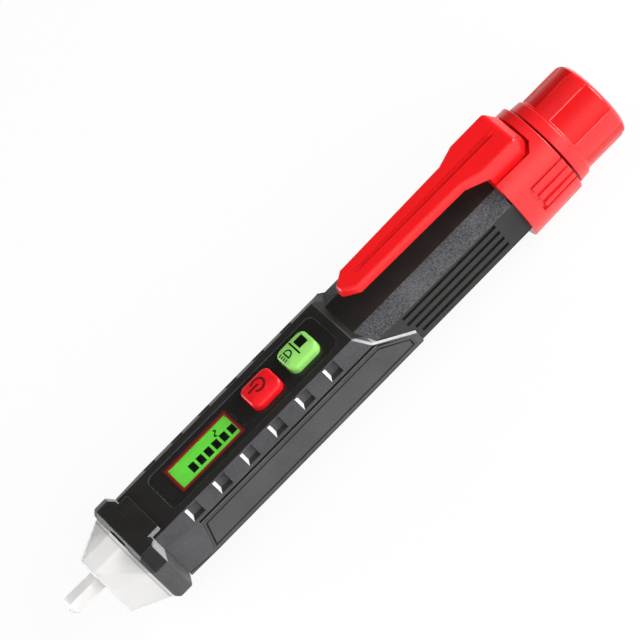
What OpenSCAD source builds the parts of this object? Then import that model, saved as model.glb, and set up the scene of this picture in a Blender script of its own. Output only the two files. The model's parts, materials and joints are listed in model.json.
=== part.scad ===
// Non-contact voltage tester, pen form, lying on its back.
// +X runs from the probe to the tail cap, +Z up through the display face.
// The origin is under the middle of the pen, on the surface it lies on.
// Stations are measured along X from the probe's tip, heights from the battery axis.

/* [Probe and nose] */
// Length of the probe blade ahead of the nose
probe_len = 9.3; // [8:0.1:11]
// Width of the probe blade
probe_w = 2.6; // [2.2:0.1:3.2]
// Height of the probe blade
probe_h = 4.0; // [3.4:0.1:4.6]
// Height of the blade's centre line above the battery axis
probe_z = 4.8; // [4.5:0.1:5.2]
// Length of the clear nose, from its front face to the collar
nose_len = 8.9; // [7:0.1:10]
// Width of the nose's front face
nose_front_w = 13; // [11:0.1:14]
// Wall of the clear nose
nose_wall = 1.4; // [1:0.1:1.8]
// Length of the nose's spigot inside the barrel
spigot_len = 4; // [3:0.1:4.5]
// Thickness of the sensor strip
antenna_t = 0.5; // [0.3:0.05:0.8]

/* [Barrel] */
// Width of the front of the barrel
front_w = 21.6; // [20.8:0.1:22.4]
// Height of the display face above the battery axis
front_top = 9.6; // [9.4:0.05:9.9]
// Width of the upper chamfers beside the display face
front_chamfer = 3.05; // [2.8:0.05:3.3]
// Height of the upper chamfers beside the display face
chamfer_drop = 2.5; // [2.3:0.05:2.9]
// Depth of the back face below the battery axis
front_bottom = 9.9; // [9.4:0.1:10.2]
// Height of the joint between the shells, below the battery axis
joint_depth = 4.1; // [3.5:0.1:4.6]
// Length of the front of the barrel along the display face
front_len = 60.2; // [59:0.5:63]
// How much narrower the rear of the barrel is than the front, on each side
rear_inset = 0.5; // [0.4:0.05:0.8]
// Height of the rear top face above the battery axis
rear_top = 8.3; // [8.1:0.05:8.6]
// Width of the rear top face
rear_top_w = 11; // [10:0.1:12]
// Length of the rear of the barrel, up to the sleeve
rear_len = 45; // [44:0.5:48]
// Wall of the shells at the front
front_wall = 1.9; // [1.7:0.05:2]
// Wall of the shells at the rear
rear_wall = 1.6; // [1.4:0.05:1.8]
// Number of grip grooves in each rear side
side_grooves = 4; // [2:1:4]
// Pitch of the grip grooves
side_pitch = 2.35; // [2:0.05:2.5]
// Depth of the grip grooves
side_depth = 0.5; // [0.3:0.05:0.7]
// Number of notches along each upper chamfer
notches = 6; // [3:1:6]
// Pitch of the notches
notch_pitch = 8.4; // [7:0.1:8.6]
// Length of one notch
notch_len = 2.7; // [2:0.1:4]
// Depth of one notch, square to the chamfer
notch_depth = 0.65; // [0.4:0.05:0.8]
// Thickness of the side plates
plate_t = 0.6; // [0.4:0.05:0.8]
// Depth of the waist in the sides, just behind the collar
waist_depth = 0.9; // [0.4:0.05:1]
// Length of the waist
waist_len = 7; // [5:0.1:7.4]

/* [Collar] */
// How far the collar stands out of the barrel at the sides
collar_proud = 1.9; // [1.4:0.05:2.2]
// Length of the collar
collar_len = 5.8; // [5:0.1:7]
// Depth of the seat that the collar has in the barrel
collar_seat = 1; // [0.8:0.05:1.2]

/* [Display] */
// Length of the display window
lcd_len = 17.2; // [14:0.1:18]
// Width of the display window
lcd_w = 6.8; // [5.6:0.1:7.4]
// Distance from the middle of the display window to the middle of the power button
lcd_at = 18.25; // [18.1:0.05:19]
// Width of the dark panel
panel_w = 11.5; // [10.6:0.1:12]
// Thickness of the dark panel
panel_t = 0.45; // [0.3:0.05:0.5]
// Thickness of the display glass
glass_t = 1; // [0.8:0.05:1.1]
// Width of the coloured frame around the display window
frame_w = 1.1; // [0.6:0.05:1.2]

/* [Buttons] */
// Length of a button along the pen
button_len = 8.4; // [7.6:0.1:8.8]
// Width of a button
button_w = 7.3; // [6.4:0.1:7.6]
// Corner radius of a button
button_r = 1.9; // [1:0.1:2.4]
// How far a button stands out of the display face
button_proud = 2.3; // [1.6:0.05:2.6]
// Height of the arch across a button's crown
button_arch = 0.8; // [0.4:0.05:1.2]
// Distance from the middle of the light button to the rear end of the display face
light_at = 9.95; // [9.5:0.05:10.2]
// Distance between the middles of the buttons
button_pitch = 11.2; // [10.6:0.1:11.6]
// Travel of a button
button_travel = 0.4; // [0.2:0.05:0.45]
// Side of a switch body
switch_side = 5; // [4:0.1:6]
// Height of a switch body
switch_h = 0.8; // [0.6:0.05:0.85]

/* [Board and cells] */
// Width of the circuit board
board_w = 13.6; // [12:0.1:14]
// Thickness of the circuit board
board_t = 0.8; // [0.6:0.05:0.85]
// Diameter of a cell
cell_d = 10.5; // [10:0.1:10.6]
// Length of a cell with its positive nub
cell_len = 44.5; // [43.5:0.1:44.8]
// Clearance between a cell and the battery tube
cell_gap = 0.35; // [0.25:0.05:0.4]
// Wall of the battery tube
tube_wall = 1.3; // [1.1:0.05:1.4]
// Thickness of the return strip along the tube
strip_t = 0.35; // [0.2:0.05:0.4]
// Width of the return strip
strip_w = 3; // [2:0.1:4]
// Length of the cell spring when the cap is on
spring_len = 4; // [3:0.1:4.4]
// Wire diameter of the cell spring
spring_wire = 0.7; // [0.5:0.05:0.8]

/* [Sleeve and clip] */
// Length of the sleeve
sleeve_len = 14.6; // [14:0.1:16]
// Diameter of the sleeve at its front
sleeve_d = 24.4; // [24.2:0.1:24.8]
// Diameter of the sleeve at its rear
sleeve_rear_d = 23.7; // [23.2:0.1:24]
// Depth of the surface that the pen lies on, below the battery axis
rest_depth = 11.2; // [11:0.05:11.4]
// Length of the clip
clip_len = 51.6; // [46:0.1:54]
// Width of the clip's arm
clip_w = 7; // [6:0.1:7.6]
// Width of the clip's arm where it flares into the root
clip_flare_w = 8.2; // [7.8:0.1:8.8]
// Width of the clip's root
root_w = 12; // [11:0.1:13]
// Thickness of the clip's arm
clip_t = 2.6; // [2:0.05:3]
// Gap between the clip's arm and the barrel
clip_gap = 4.8; // [4.4:0.1:5.6]
// Clearance beside the clip's root
root_gap = 1.1; // [0.8:0.05:1.3]

/* [Tail cap] */
// Gap between the sleeve and the cap
cap_gap = 0.6; // [0.55:0.05:0.8]
// Length of the cap's flange
flange_len = 2.9; // [2.6:0.1:3.8]
// Diameter of the cap's flange
flange_d = 22; // [21.4:0.1:22.2]
// Length of the cap's grip
grip_len = 12.7; // [12:0.1:13.6]
// Diameter of the cap's grip
grip_d = 20.6; // [20:0.1:20.8]
// Number of finger hollows around the cap
hollows = 5; // [4:1:8]
// Depth of the finger hollows
hollow_depth = 0.45; // [0.2:0.05:0.5]
// Pitch of the cap's thread
thread_pitch = 2.4; // [2.2:0.05:2.8]
// Thickness of the cap's end wall
cap_end = 2; // [1.6:0.1:2.4]

/* [Fits] */
// Clearance of a sliding part in its opening, on each side
slide_clear = 0.15; // [0.1:0.05:0.2]
// Clearance of a fixed part in its seat, on each side
seat_clear = 0.05; // [0.03:0.01:0.08]
// Radial clearance of a part that turns in another
turn_clear = 0.1; // [0.08:0.01:0.1]

/* [Hidden] */
$fn = 64;

// How far a cut runs past the face that it opens, and how far joined shapes run into each other
past = 1;
sink = 0.2;

// Stations along the pen
nose_x = probe_len;
collar_x = nose_x + nose_len;
barrel_x = collar_x + collar_len;
step_x = barrel_x + front_len;
sleeve_x = step_x + rear_len;
sleeve_end = sleeve_x + sleeve_len;
cap_x = sleeve_end + cap_gap;
grip_x = cap_x + flange_len;
pen_len = grip_x + grip_len;

// Cross sections of the barrel
front_half = front_w / 2;
rear_half = front_half - rear_inset;
rear_high = 6.3;
back_half = 5;
rear_bottom = front_bottom - 0.4;
front_high = front_top - chamfer_drop;
front_section = section(front_half, front_top, front_half - front_chamfer, front_high, front_bottom);
rear_section = section(rear_half, rear_top, rear_top_w / 2, rear_high, rear_bottom);

// The collar's top is lower than its sides stand out
collar_half = front_half + collar_proud;
collar_top = front_top + 0.75;
collar_chamfer = front_chamfer + 0.55;
collar_high = collar_top - collar_chamfer * chamfer_drop / front_chamfer;
collar_section = section(collar_half, collar_top, collar_half - collar_chamfer, collar_high, rest_depth);
collar_front_edge = 1;
collar_rear_slope = 1.4;

// The collar's rear end comes down to the barrel's waist, one distance for each of its eight edges
collar_lip = 0.1;
waist_in = collar_proud + waist_depth - collar_lip;
chamfer_in = ((collar_half - front_half) * chamfer_drop + (collar_high - front_high) * front_chamfer)
  / norm([chamfer_drop, front_chamfer]) - collar_lip;
collar_rear = inset(collar_section, [
  rest_depth - front_bottom - collar_lip, collar_proud, waist_in, chamfer_in,
  collar_top - front_top - collar_lip, chamfer_in, waist_in, collar_proud
]);

// The barrel inside the collar, and the nose's spigot in it
neck_section = inset(front_section, collar_seat);
neck_wall = 1.4;
spigot_section = inset(neck_section, neck_wall + seat_clear);
spigot_wall = 0.8;

// The nose narrows at its sides and back and keeps its top ridge level
ridge_half = 2.3;
ridge_top = front_top + 0.3;
nose_rear_half = front_half + 0.2;
nose_back = [
  [-3.5, -10], [3.5, -10], [nose_rear_half, -joint_depth], [nose_rear_half, 6.6],
  [ridge_half, ridge_top], [-ridge_half, ridge_top], [-nose_rear_half, 6.6], [-nose_rear_half, -joint_depth]
];
nose_half = nose_front_w / 2;
nose_front = [
  [-ridge_half, -7.4], [ridge_half, -7.4], [nose_half, -3], [nose_half, 6],
  [ridge_half, ridge_top], [-ridge_half, ridge_top], [-nose_half, 6], [-nose_half, -3]
];
slot_x = 2;
slot_h = probe_h - 1.2;
slot_w = antenna_t + 2 * seat_clear;
holder_w = 4.2;
holder_wall = 0.3;
antenna_x = slot_x + 0.6;
antenna_h = slot_h - 1;
antenna_lap = 1.6;
lamp_y = 3;

// Cells, tube and board, stacked upwards from the battery axis
cell_r = cell_d / 2;
bore_r = cell_r + cell_gap;
tube_r = bore_r + tube_wall;
board_z = bore_r + strip_t;
board_top = board_z + board_t;
switch_top = board_top + switch_h;
plate_x = pen_len - cap_end;
cup_t = 0.3;
cells_end = plate_x - cup_t - spring_len;
joint_x = cells_end - cell_len;
cells_x = joint_x - cell_len;
nub_len = 1;
nub_r = 2.75;
tube_x = step_x + 2.8;
tube_collar = 2;
neck_x = cap_x + 9;
board_x = collar_x + spigot_len + 0.8;
board_end = step_x - 2.2;
contact_t = 0.3;

// Under the display face, placed from its rear end
light_x = step_x - light_at;
power_x = light_x - button_pitch;
lcd_x = power_x - lcd_at;
panel_margin = 3.7;
panel_x = lcd_x - lcd_len / 2 - frame_w - panel_margin;
panel_end = step_x - 2.4;
panel_mid = (panel_x + panel_end) / 2;
panel_r = 1.6;
panel_sink = 0.05;
panel_floor = front_top - panel_sink - panel_t;
ceiling = panel_floor - 0.45;
bay_half = 6.6;
window_gap = 0.2;
window_r = 0.4;
frame_r = 0.8;
cap_rim = 0.5;
flange_t = 0.5;
flange_z = switch_top + button_travel + 0.1;
button_top = front_top + button_proud;
plunger_r = 1.2;
plunger_in = 0.3;
glass_len = lcd_len + 2.3;
glass_w = lcd_w + 2.6;
glass_top = ceiling - 0.1;
boss_r = 1.6;
boss_gap = 1;
screw_spots = [
  lcd_x - glass_len / 2 - boss_r - boss_gap,
  (lcd_x + glass_len / 2 + power_x - button_len / 2 - cap_rim) / 2
];
screw_r = 0.7;
head_r = 1.3;
head_h = 0.7;

// The side plate follows the slanted end of the front of the barrel
plate_sink = plate_t - 0.1;
plate_low = -joint_depth + 0.9;
plate_high = 5.5;
plate_front = barrel_x + 9.6;
plate_slant = 2;
plate_margin = 1.6;
swoosh_run = 2.4;
swoosh_reach = 8.8;
swoosh_low = -0.2;
groove_z = [front_high - 0.9, front_high - 0.2];
groove_depth = 0.4;
groove_lead = 0.4;
groove_margin = 0.6;
notch_x = barrel_x + 9.4;
notch_ramp = 0.8;
notch_draft = 0.15;
notch_top = 0.35;
notch_floor = 1.9;
notch_low = 0.5;

// Grip grooves in the rear sides
side_w = 1;
side_high = 5.1;
side_x = step_x + 10.6;
side_gap = 1.3;
side_end = sleeve_x - 6;

// Sleeve, with the pocket that the clip's root lies in
sleeve_r = sleeve_d / 2;
sleeve_rear_r = sleeve_rear_d / 2;
sleeve_bore_r = sleeve_r - 1.5;
sleeve_wall = 1.6;
shell_end = sleeve_end - sleeve_wall - 1.7;
hump_rise = 0.9;
hump_in = 0.3;
pocket_z = rear_top + 1.1;
pocket_end = sleeve_end - 2.5;
sleeve_ribs = 3;
sleeve_rib_step = 12;
sleeve_rib_lift = 12;
sleeve_rib_x = sleeve_x + 6.2;
sleeve_rib_w = 1.4;
sleeve_rib_lead = 0.8;
sleeve_rib_depth = 0.45;
pocket_half = root_w / 2 + root_gap;

// Clip
root_end = pocket_end - 0.5;
clip_x = root_end - clip_len;
clip_low = rear_top + clip_gap;
root_x = sleeve_x + 0.3;
flare_x = root_x - 5.6;
tip_half = 0.6;
tip_taper = 3.6;
tip_front = 0.3;
tip_lean = 0.7;
crease_x = clip_x + 5.4;
crease_end = root_end - 3.1;
crease_w = 1.2;
crease_depth = 0.4;
root_drop = 0.9;
root_slope = 2;
root_low = 2.5;
root_corner = 1.8;
root_lead = 0.6;

// Tail cap and its thread
flange_r = flange_d / 2;
grip_r = grip_d / 2;
rim_r = 2.4;
cap_bore_r = tube_r + 1.4;
cup_r = cap_bore_r - 0.6 - turn_clear;
cup_lip_r = bore_r + 0.3;
thread_h = 0.8;
thread_root = 0.3;
thread_base = 0.5;
thread_tip = 0.25;
thread_turns = 2;
thread_x = cap_x + 2.6;
hollow_land = 28;
hollow_turn = -27;
hollow_lead = 0.6;
seal_r = 0.24;
strip_tab = 1.25;
strip_lap = 4;

// Closed eight-sided section: half width, top, half width of the top, upper corner, bottom
function section(half, top, top_half, high, bottom) = [
  [-back_half, -bottom], [back_half, -bottom], [half, -joint_depth], [half, high],
  [top_half, top], [-top_half, top], [-half, high], [-half, -joint_depth]
];

// Unit normal to the left of the edge from p to q
function left_of(p, q) = [p.y - q.y, q.x - p.x] / norm(q - p);

// Section with every edge moved inwards by d, which may be one distance for each edge
function inset(pts, d) = [
  for (i = [0:len(pts) - 1])
    let (
      p = pts[i],
      before = (i + len(pts) - 1) % len(pts),
      a = left_of(pts[before], p),
      b = left_of(p, pts[(i + 1) % len(pts)]),
      ka = a * p + (is_list(d) ? d[before] : d),
      kb = b * p + (is_list(d) ? d[i] : d),
      det = a.x * b.y - a.y * b.x
    )
    [(ka * b.y - kb * a.y) / det, (a.x * kb - b.x * ka) / det]
];

// Station of the slanted end of the front of the barrel at height z
function swoosh_x(z) = z > front_high
  ? step_x + (front_top - z) * swoosh_run / chamfer_drop
  : step_x + swoosh_run + (front_high - max(z, swoosh_low)) * swoosh_reach / (front_high - swoosh_low);

// Moves from stations and axis heights to the pen's own frame
module placed() {
  translate([-pen_len / 2, 0, rest_depth]) children();
}

// Cross section drawn in Y and Z, run along X
module slab(from, to, pts) {
  translate([from, 0, 0]) rotate([90, 0, 90]) linear_extrude(to - from) polygon(pts);
}

// Outline drawn in X and Z, run along Y
module side_cut(from, to, pts) {
  translate([0, to, 0]) rotate([90, 0, 0]) linear_extrude(to - from) polygon(pts);
}

// Round bar along X
module rod(from, to, r) {
  translate([from, 0, 0]) rotate([0, 90, 0]) cylinder(h = to - from, r = r);
}

// Solid that joins sections at stations, all with the same number of points
module skin(stations, sections) {
  n = len(sections[0]);
  last = len(stations) - 1;
  points = [for (i = [0:last]) for (p = sections[i]) [stations[i], p.x, p.y]];
  sides = [for (i = [0:last - 1]) for (j = [0:n - 1])
    [i * n + j, (i + 1) * n + j, (i + 1) * n + (j + 1) % n, i * n + (j + 1) % n]];
  front = [[for (j = [0:n - 1]) j]];
  back = [[for (j = [n - 1:-1:0]) last * n + j]];
  polyhedron(points, concat(front, sides, back));
}

// Plate with rounded corners, centred on X and Y
module round_plate(length, width, r, h) {
  linear_extrude(h) {
    square([length - 2 * r, width], center = true);
    square([length, width - 2 * r], center = true);
    for (x = [-1, 1], y = [-1, 1])
      translate([x * (length / 2 - r), y * (width / 2 - r)]) circle(r);
  }
}

// Helical ridge around X, from radius foot to radius tip
module thread_ridge(from, turns, foot, tip) {
  steps = 24;
  rings = steps * turns;
  shape = [[foot, -thread_base], [tip, -thread_tip], [tip, thread_tip], [foot, thread_base]];
  points = [for (i = [0:rings]) for (p = shape)
    let (a = 360 * i / steps)
    [from + thread_pitch * i / steps + p.y, p.x * cos(a), p.x * sin(a)]];
  sides = [for (i = [0:rings - 1]) for (j = [0:3])
    [i * 4 + j, (i + 1) * 4 + j, (i + 1) * 4 + (j + 1) % 4, i * 4 + (j + 1) % 4]];
  turned = foot < tip;
  first = [[3, 2, 1, 0]];
  end = [[for (j = [0:3]) rings * 4 + j]];
  all = concat(first, [for (f = sides) [f[3], f[2], f[1], f[0]]], end);
  polyhedron(points, turned ? all : [for (f = all) [for (k = [len(f) - 1:-1:0]) f[k]]]);
}

// Outside of the barrel: front, rear, the seat of the collar and the seat of the sleeve
module barrel_outside() {
  slab(collar_x, barrel_x + sink, neck_section);
  difference() {
    slab(barrel_x, swoosh_x(swoosh_low) + past, front_section);
    for (side = [-1, 1]) waist(side);
    side_cut(-front_w, front_w, [
      [step_x, 2 * front_top], [step_x, front_top], [swoosh_x(front_high), front_high],
      [swoosh_x(swoosh_low), swoosh_low], [swoosh_x(swoosh_low), -2 * front_bottom],
      [pen_len, -2 * front_bottom], [pen_len, 2 * front_top]
    ]);
  }
  slab(step_x - front_wall, sleeve_x, rear_section);
  intersection() {
    slab(sleeve_x - past, shell_end, rear_section);
    rod(sleeve_x - past, shell_end, sleeve_bore_r - seat_clear);
  }
}

// Wedge that draws a side of the barrel in towards the collar
module waist(side) {
  translate([0, 0, -2 * front_bottom]) linear_extrude(4 * front_bottom) polygon([
    [barrel_x - past, side * (front_half + past)],
    [barrel_x - past, side * (front_half - waist_depth * (1 + past / waist_len))],
    [barrel_x + waist_len, side * front_half],
    [barrel_x + waist_len, side * (front_half + past)]
  ]);
}

// Space inside the barrel
module barrel_inside() {
  slab(collar_x - past, barrel_x + past, inset(neck_section, neck_wall));
  slab(barrel_x, step_x - front_wall, inset(front_section, front_wall));
  slab(step_x - front_wall - past, shell_end + past, inset(rear_section, rear_wall));
  rod(step_x - front_wall - past, shell_end + past, tube_r + turn_clear);
}

// Everything above or below the joint between the shells
module above_joint() {
  translate([0, -front_w, -joint_depth]) cube([pen_len, 2 * front_w, 4 * front_w]);
}

module below_joint() {
  translate([0, -front_w, -joint_depth - 4 * front_w]) cube([pen_len, 2 * front_w, 4 * front_w]);
}

// Clear nose with the hollow probe blade
module nose_lens() {
  hollow_front = inset(nose_front, nose_wall);
  hollow_back = inset(spigot_section, spigot_wall);
  placed() color("white", 0.6) difference() {
    union() {
      hull() skin([nose_x, collar_x], [nose_front, nose_back]);
      slab(collar_x - sink, collar_x + spigot_len, spigot_section);
      probe_blade();
    }
    hull() skin([nose_x + nose_wall, collar_x + seat_clear], [hollow_front, hollow_back]);
    slab(collar_x, collar_x + spigot_len + past, hollow_back);
    translate([slot_x, -slot_w / 2, probe_z - slot_h / 2]) cube([nose_x, slot_w, slot_h]);
  }
}

// Blade with an end that is round from the side and from above
module probe_blade() {
  root = nose_x + nose_wall;
  r = probe_h / 2;
  intersection() {
    translate([r, 0, probe_z]) rotate([90, 0, 0]) linear_extrude(probe_w, center = true) {
      circle(r);
      translate([0, -r]) square([root - r, probe_h]);
    }
    translate([probe_w / 2, 0, 0]) linear_extrude(2 * front_top) {
      circle(probe_w / 2);
      translate([0, -probe_w / 2]) square([root, probe_w]);
    }
  }
}

// Cream holder that keeps the sensor strip in line with the probe
module sensor_holder() {
  from = nose_x + nose_wall;
  floor_z = probe_z - slot_h / 2;
  low = floor_z - holder_wall;
  top = board_z + holder_wall;
  placed() color("wheat") difference() {
    translate([from, -holder_w / 2, low]) cube([board_x - from, holder_w, top - low]);
    translate([nose_x, -slot_w / 2, floor_z]) cube([board_x - nose_x + past, slot_w, board_z - floor_z]);
  }
}

// Sensor strip from the probe to the board
module sensor_antenna() {
  placed() color("gold") translate([antenna_x, -antenna_t / 2, board_z - antenna_h])
    cube([board_x + antenna_lap - antenna_x, antenna_t, antenna_h]);
}

// Collar around the front of the shells, with a tongue over the display face
module front_collar() {
  seat = inset(neck_section, -seat_clear);
  tongue_half = collar_half - collar_chamfer - 2.2;
  tongue_x = barrel_x - 1.2;
  tongue_len = 3.6;
  tongue_t = 0.5;
  placed() color("dimgray") {
    difference() {
      skin([collar_x, collar_x + collar_front_edge, barrel_x - collar_rear_slope, barrel_x - seat_clear],
        [inset(collar_section, collar_front_edge), collar_section, collar_section, collar_rear]);
      slab(collar_x - past, barrel_x + past, seat);
    }
    translate([tongue_x, -tongue_half, front_top + seat_clear])
      cube([tongue_len, 2 * tongue_half, tongue_t]);
  }
}

// Notch in an upper chamfer: floor along the chamfer, ramps at its lower edge and towards the probe
module notch(at, side) {
  long = norm([front_chamfer, chamfer_drop]);
  slope = atan2(chamfer_drop, front_chamfer);
  ramp = long - notch_low - notch_top - notch_floor;
  clear = 1 + past / notch_depth;
  translate([0, side * (front_half - front_chamfer), front_top]) rotate([-side * slope, 0, 0])
    intersection() {
      slab(at - notch_ramp * clear, at + notch_len + past, [
        [side * notch_top, past], [side * notch_top, -notch_depth],
        [side * (notch_top + notch_floor), -notch_depth],
        [side * (notch_top + notch_floor + ramp * clear), past]
      ]);
      side_cut(-2 * long, 2 * long, [
        [at - notch_ramp * clear, past], [at, -notch_depth],
        [at + notch_len - notch_draft, -notch_depth], [at + notch_len, past]
      ]);
    }
}

// Outline of a side plate in X and Z, grown by g
function plate_outline(g) = inset([
  [plate_front - plate_slant, plate_low],
  [swoosh_x(swoosh_low) - plate_margin, plate_low],
  [swoosh_x(swoosh_low) - plate_margin, swoosh_low],
  [swoosh_x(plate_high) - plate_margin, plate_high],
  [plate_front, plate_high]
], -g);

// Upper shell: display face, chamfers and both sides
module upper_shell() {
  placed() color("#2b2a29") {
    difference() {
      intersection() {
        barrel_outside();
        above_joint();
      }
      barrel_inside();
      bay();
      for (i = [0:notches - 1], side = [-1, 1]) notch(notch_x + i * notch_pitch, side);
      for (side = [-1, 1]) {
        side_recesses(side);
        grip_grooves(side);
      }
    }
    for (x = screw_spots) boss(x);
  }
}

// Room under the display face, with the openings for the window and the buttons
module bay() {
  edge = 1;
  translate([panel_x + edge, -bay_half, board_top])
    cube([panel_end - panel_x - 2 * edge, 2 * bay_half, ceiling - board_top]);
  translate([panel_mid, 0, panel_floor]) round_plate(panel_end - panel_x, panel_w, panel_r, front_top);
  translate([lcd_x, 0, board_top])
    round_plate(lcd_len + 2 * window_gap, lcd_w + 2 * window_gap, window_r, front_top);
  for (x = [power_x, light_x]) translate([x, 0, board_top]) button_opening();
}

// Opening for a button, from the middle of its foot upwards
module button_opening() {
  round_plate(button_len + 2 * slide_clear, button_w + 2 * slide_clear, button_r + slide_clear, front_top);
}

// Seat of a side plate and the groove above it
module side_recesses(side) {
  out = 2;
  plate_at = front_half - plate_sink;
  groove_at = front_half - groove_depth;
  side_cut(side > 0 ? plate_at : -plate_at - out, side > 0 ? plate_at + out : -plate_at,
    plate_outline(seat_clear));
  side_cut(side > 0 ? groove_at : -groove_at - out, side > 0 ? groove_at + out : -groove_at, [
    [plate_front - groove_lead, groove_z[0]], [swoosh_x(groove_z[0]) - groove_margin, groove_z[0]],
    [swoosh_x(groove_z[1]) - groove_margin, groove_z[1]], [plate_front - groove_lead, groove_z[1]]
  ]);
}

// Grip grooves in a rear side
module grip_grooves(side) {
  at = rear_half - side_depth;
  for (i = [0:side_grooves - 1]) {
    z = side_high - i * side_pitch;
    x = max(side_x, swoosh_x(z) + side_gap);
    translate([x, side > 0 ? at : -at - past, z - side_w / 2]) cube([side_end - x, past, side_w]);
  }
}

// Boss that a board screw goes into
module boss(x) {
  hole = 0.9;
  under = x - boss_r > panel_x + past ? ceiling : front_top - front_wall;
  translate([x, 0, board_top]) difference() {
    cylinder(h = under + sink - board_top, r = boss_r);
    translate([0, 0, -past]) cylinder(h = hole + past, r = screw_r);
  }
}

// Lower shell, with cradles for the front cell and the battery tube
module lower_shell() {
  cell_edge = 3.5;
  tube_edge = 9;
  cell_cradles = [cells_x + cell_edge, (cells_x + tube_x) / 2, tube_x - cell_edge];
  tube_cradles = [tube_x + tube_edge, sleeve_x - tube_edge];
  placed() color("#2b2a29") {
    difference() {
      intersection() {
        barrel_outside();
        below_joint();
      }
      barrel_inside();
    }
    for (x = cell_cradles) cradle(x, bore_r, front_bottom - front_wall);
    for (x = tube_cradles) cradle(x, tube_r + seat_clear, rear_bottom - rear_wall);
    contact_wall();
  }
}

// Upright rib with a round seat
module cradle(x, r, depth) {
  half = 4.2;
  thick = 1.6;
  low = 2;
  difference() {
    translate([x, -half, -depth - sink]) cube([thick, 2 * half, depth + sink - low]);
    rod(x - past, x + thick + past, r);
  }
}

// Wall behind the front contact
module contact_wall() {
  half = 3.6;
  thick = 1.6;
  high = 2.6;
  depth = front_bottom - front_wall + sink;
  translate([cells_x - contact_t - thick, -half, -depth]) cube([thick, 2 * half, depth + high]);
}

// Side plates, left bare
module near_plate() {
  placed() color("#3a393b")
    side_cut(-front_half - plate_t + plate_sink, -front_half + plate_sink, plate_outline(0));
}

module far_plate() {
  placed() color("#3a393b")
    side_cut(front_half - plate_sink, front_half + plate_t - plate_sink, plate_outline(0));
}

// Dark panel around the window and the buttons
module display_panel() {
  rim = frame_w + seat_clear;
  placed() color("#151515") difference() {
    translate([panel_mid, 0, panel_floor])
      round_plate(panel_end - panel_x - 2 * seat_clear, panel_w - 2 * seat_clear, panel_r, panel_t);
    translate([lcd_x, 0, panel_floor - past])
      round_plate(lcd_len + 2 * rim, lcd_w + 2 * rim, frame_r, front_top);
    for (x = [power_x, light_x]) translate([x, 0, panel_floor - past]) button_opening();
  }
}

// Coloured frame around the display window
module lcd_frame() {
  placed() color("firebrick") translate([lcd_x, 0, panel_floor]) difference() {
    round_plate(lcd_len + 2 * frame_w, lcd_w + 2 * frame_w, frame_r, panel_t);
    translate([0, 0, -past]) round_plate(lcd_len, lcd_w, window_r, front_top);
  }
}

// Clear window over the display
module lcd_window() {
  foot = glass_top + 0.02;
  top = panel_floor + panel_t - 0.1;
  placed() color("honeydew", 0.5) translate([lcd_x, 0, foot])
    round_plate(lcd_len - 2 * seat_clear, lcd_w - 2 * seat_clear, window_r, top - foot);
}

// Display glass on its light plate
module lcd_glass() {
  placed() color("yellowgreen") translate([lcd_x - glass_len / 2, -glass_w / 2, glass_top - glass_t])
    cube([glass_len, glass_w, glass_t]);
}

module lcd_backlight() {
  placed() color("palegreen") translate([lcd_x - glass_len / 2, -glass_w / 2, board_top])
    cube([glass_len, glass_w, glass_top - glass_t - board_top]);
}

// Circuit board, held under the bosses
module main_board() {
  placed() color("darkgreen") difference() {
    translate([board_x, -board_w / 2, board_z]) cube([board_end - board_x, board_w, board_t]);
    for (x = screw_spots)
      translate([x, 0, board_z - past]) cylinder(h = board_t + 2 * past, r = screw_r + seat_clear);
  }
}

// Controller under the board
module main_chip() {
  side = 6;
  h = 1.2;
  at = lcd_x - lcd_len / 2 + 1.1;
  placed() color("black") translate([at - side / 2, -side / 2, board_z - h]) cube([side, side, h]);
}

// Sounder under the board
module buzzer() {
  h = 3.2;
  r = 4.5;
  port_r = 0.9;
  at = lcd_x + 2.6;
  placed() color("black") translate([at, 0, board_z - h]) difference() {
    cylinder(h = h, r = r);
    translate([0, 0, -past]) cylinder(h = 2 * past, r = port_r);
  }
}

// Lamp with a domed end, a flange and two bent legs up to the board
module lamp(y) {
  r = 1.9;
  rim = 0.3;
  rim_t = 0.8;
  body = 5;
  z = -2;
  flange_x = collar_x + 2.2;
  leg_x = board_x + 1.2;
  leg_r = 0.25;
  leg_y = 0.9;
  translate([0, y, z]) {
    rod(flange_x - body, flange_x, r);
    translate([flange_x - body, 0, 0]) sphere(r);
    rod(flange_x - rim_t, flange_x, r + rim);
    for (side = [-1, 1]) translate([0, side * leg_y, 0]) {
      rod(flange_x - sink, leg_x + leg_r, leg_r);
      translate([leg_x, 0, -leg_r]) cylinder(h = board_z - z + leg_r, r = leg_r);
    }
  }
}

module torch_led() {
  placed() color("white") lamp(-lamp_y);
}

module alarm_led() {
  placed() color("red") lamp(lamp_y);
}

// Screws that hold the board to the bosses
module board_screws() {
  reach = 0.8;
  cross = [1.6, 0.3, 0.3];
  placed() color("silver") for (x = screw_spots) translate([x, 0, board_z - head_h]) difference() {
    union() {
      cylinder(h = head_h, r = head_r);
      cylinder(h = head_h + board_t + reach, r = screw_r);
    }
    for (turn = [0, 90])
      rotate(turn) translate([-cross.x / 2, -cross.y / 2, -past]) cube(cross + [0, 0, past]);
  }
}

// Push button with a flange under the display face and a crown that is arched across the pen
module push_button(x) {
  high = button_top - flange_z;
  crown_r = (pow(button_w / 2, 2) + pow(button_arch, 2)) / (2 * button_arch);
  translate([x, 0, flange_z]) {
    round_plate(button_len + 2 * cap_rim, button_w + 2 * cap_rim, button_r, flange_t);
    intersection() {
      round_plate(button_len, button_w, button_r, high);
      translate([0, 0, high - crown_r]) rod(-button_len, button_len, crown_r);
    }
  }
}

// Plunger that the button presses into its switch
module switch_plunger(x) {
  translate([x, 0, switch_top - plunger_in])
    cylinder(h = flange_z - switch_top + plunger_in, r = plunger_r);
}

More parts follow.
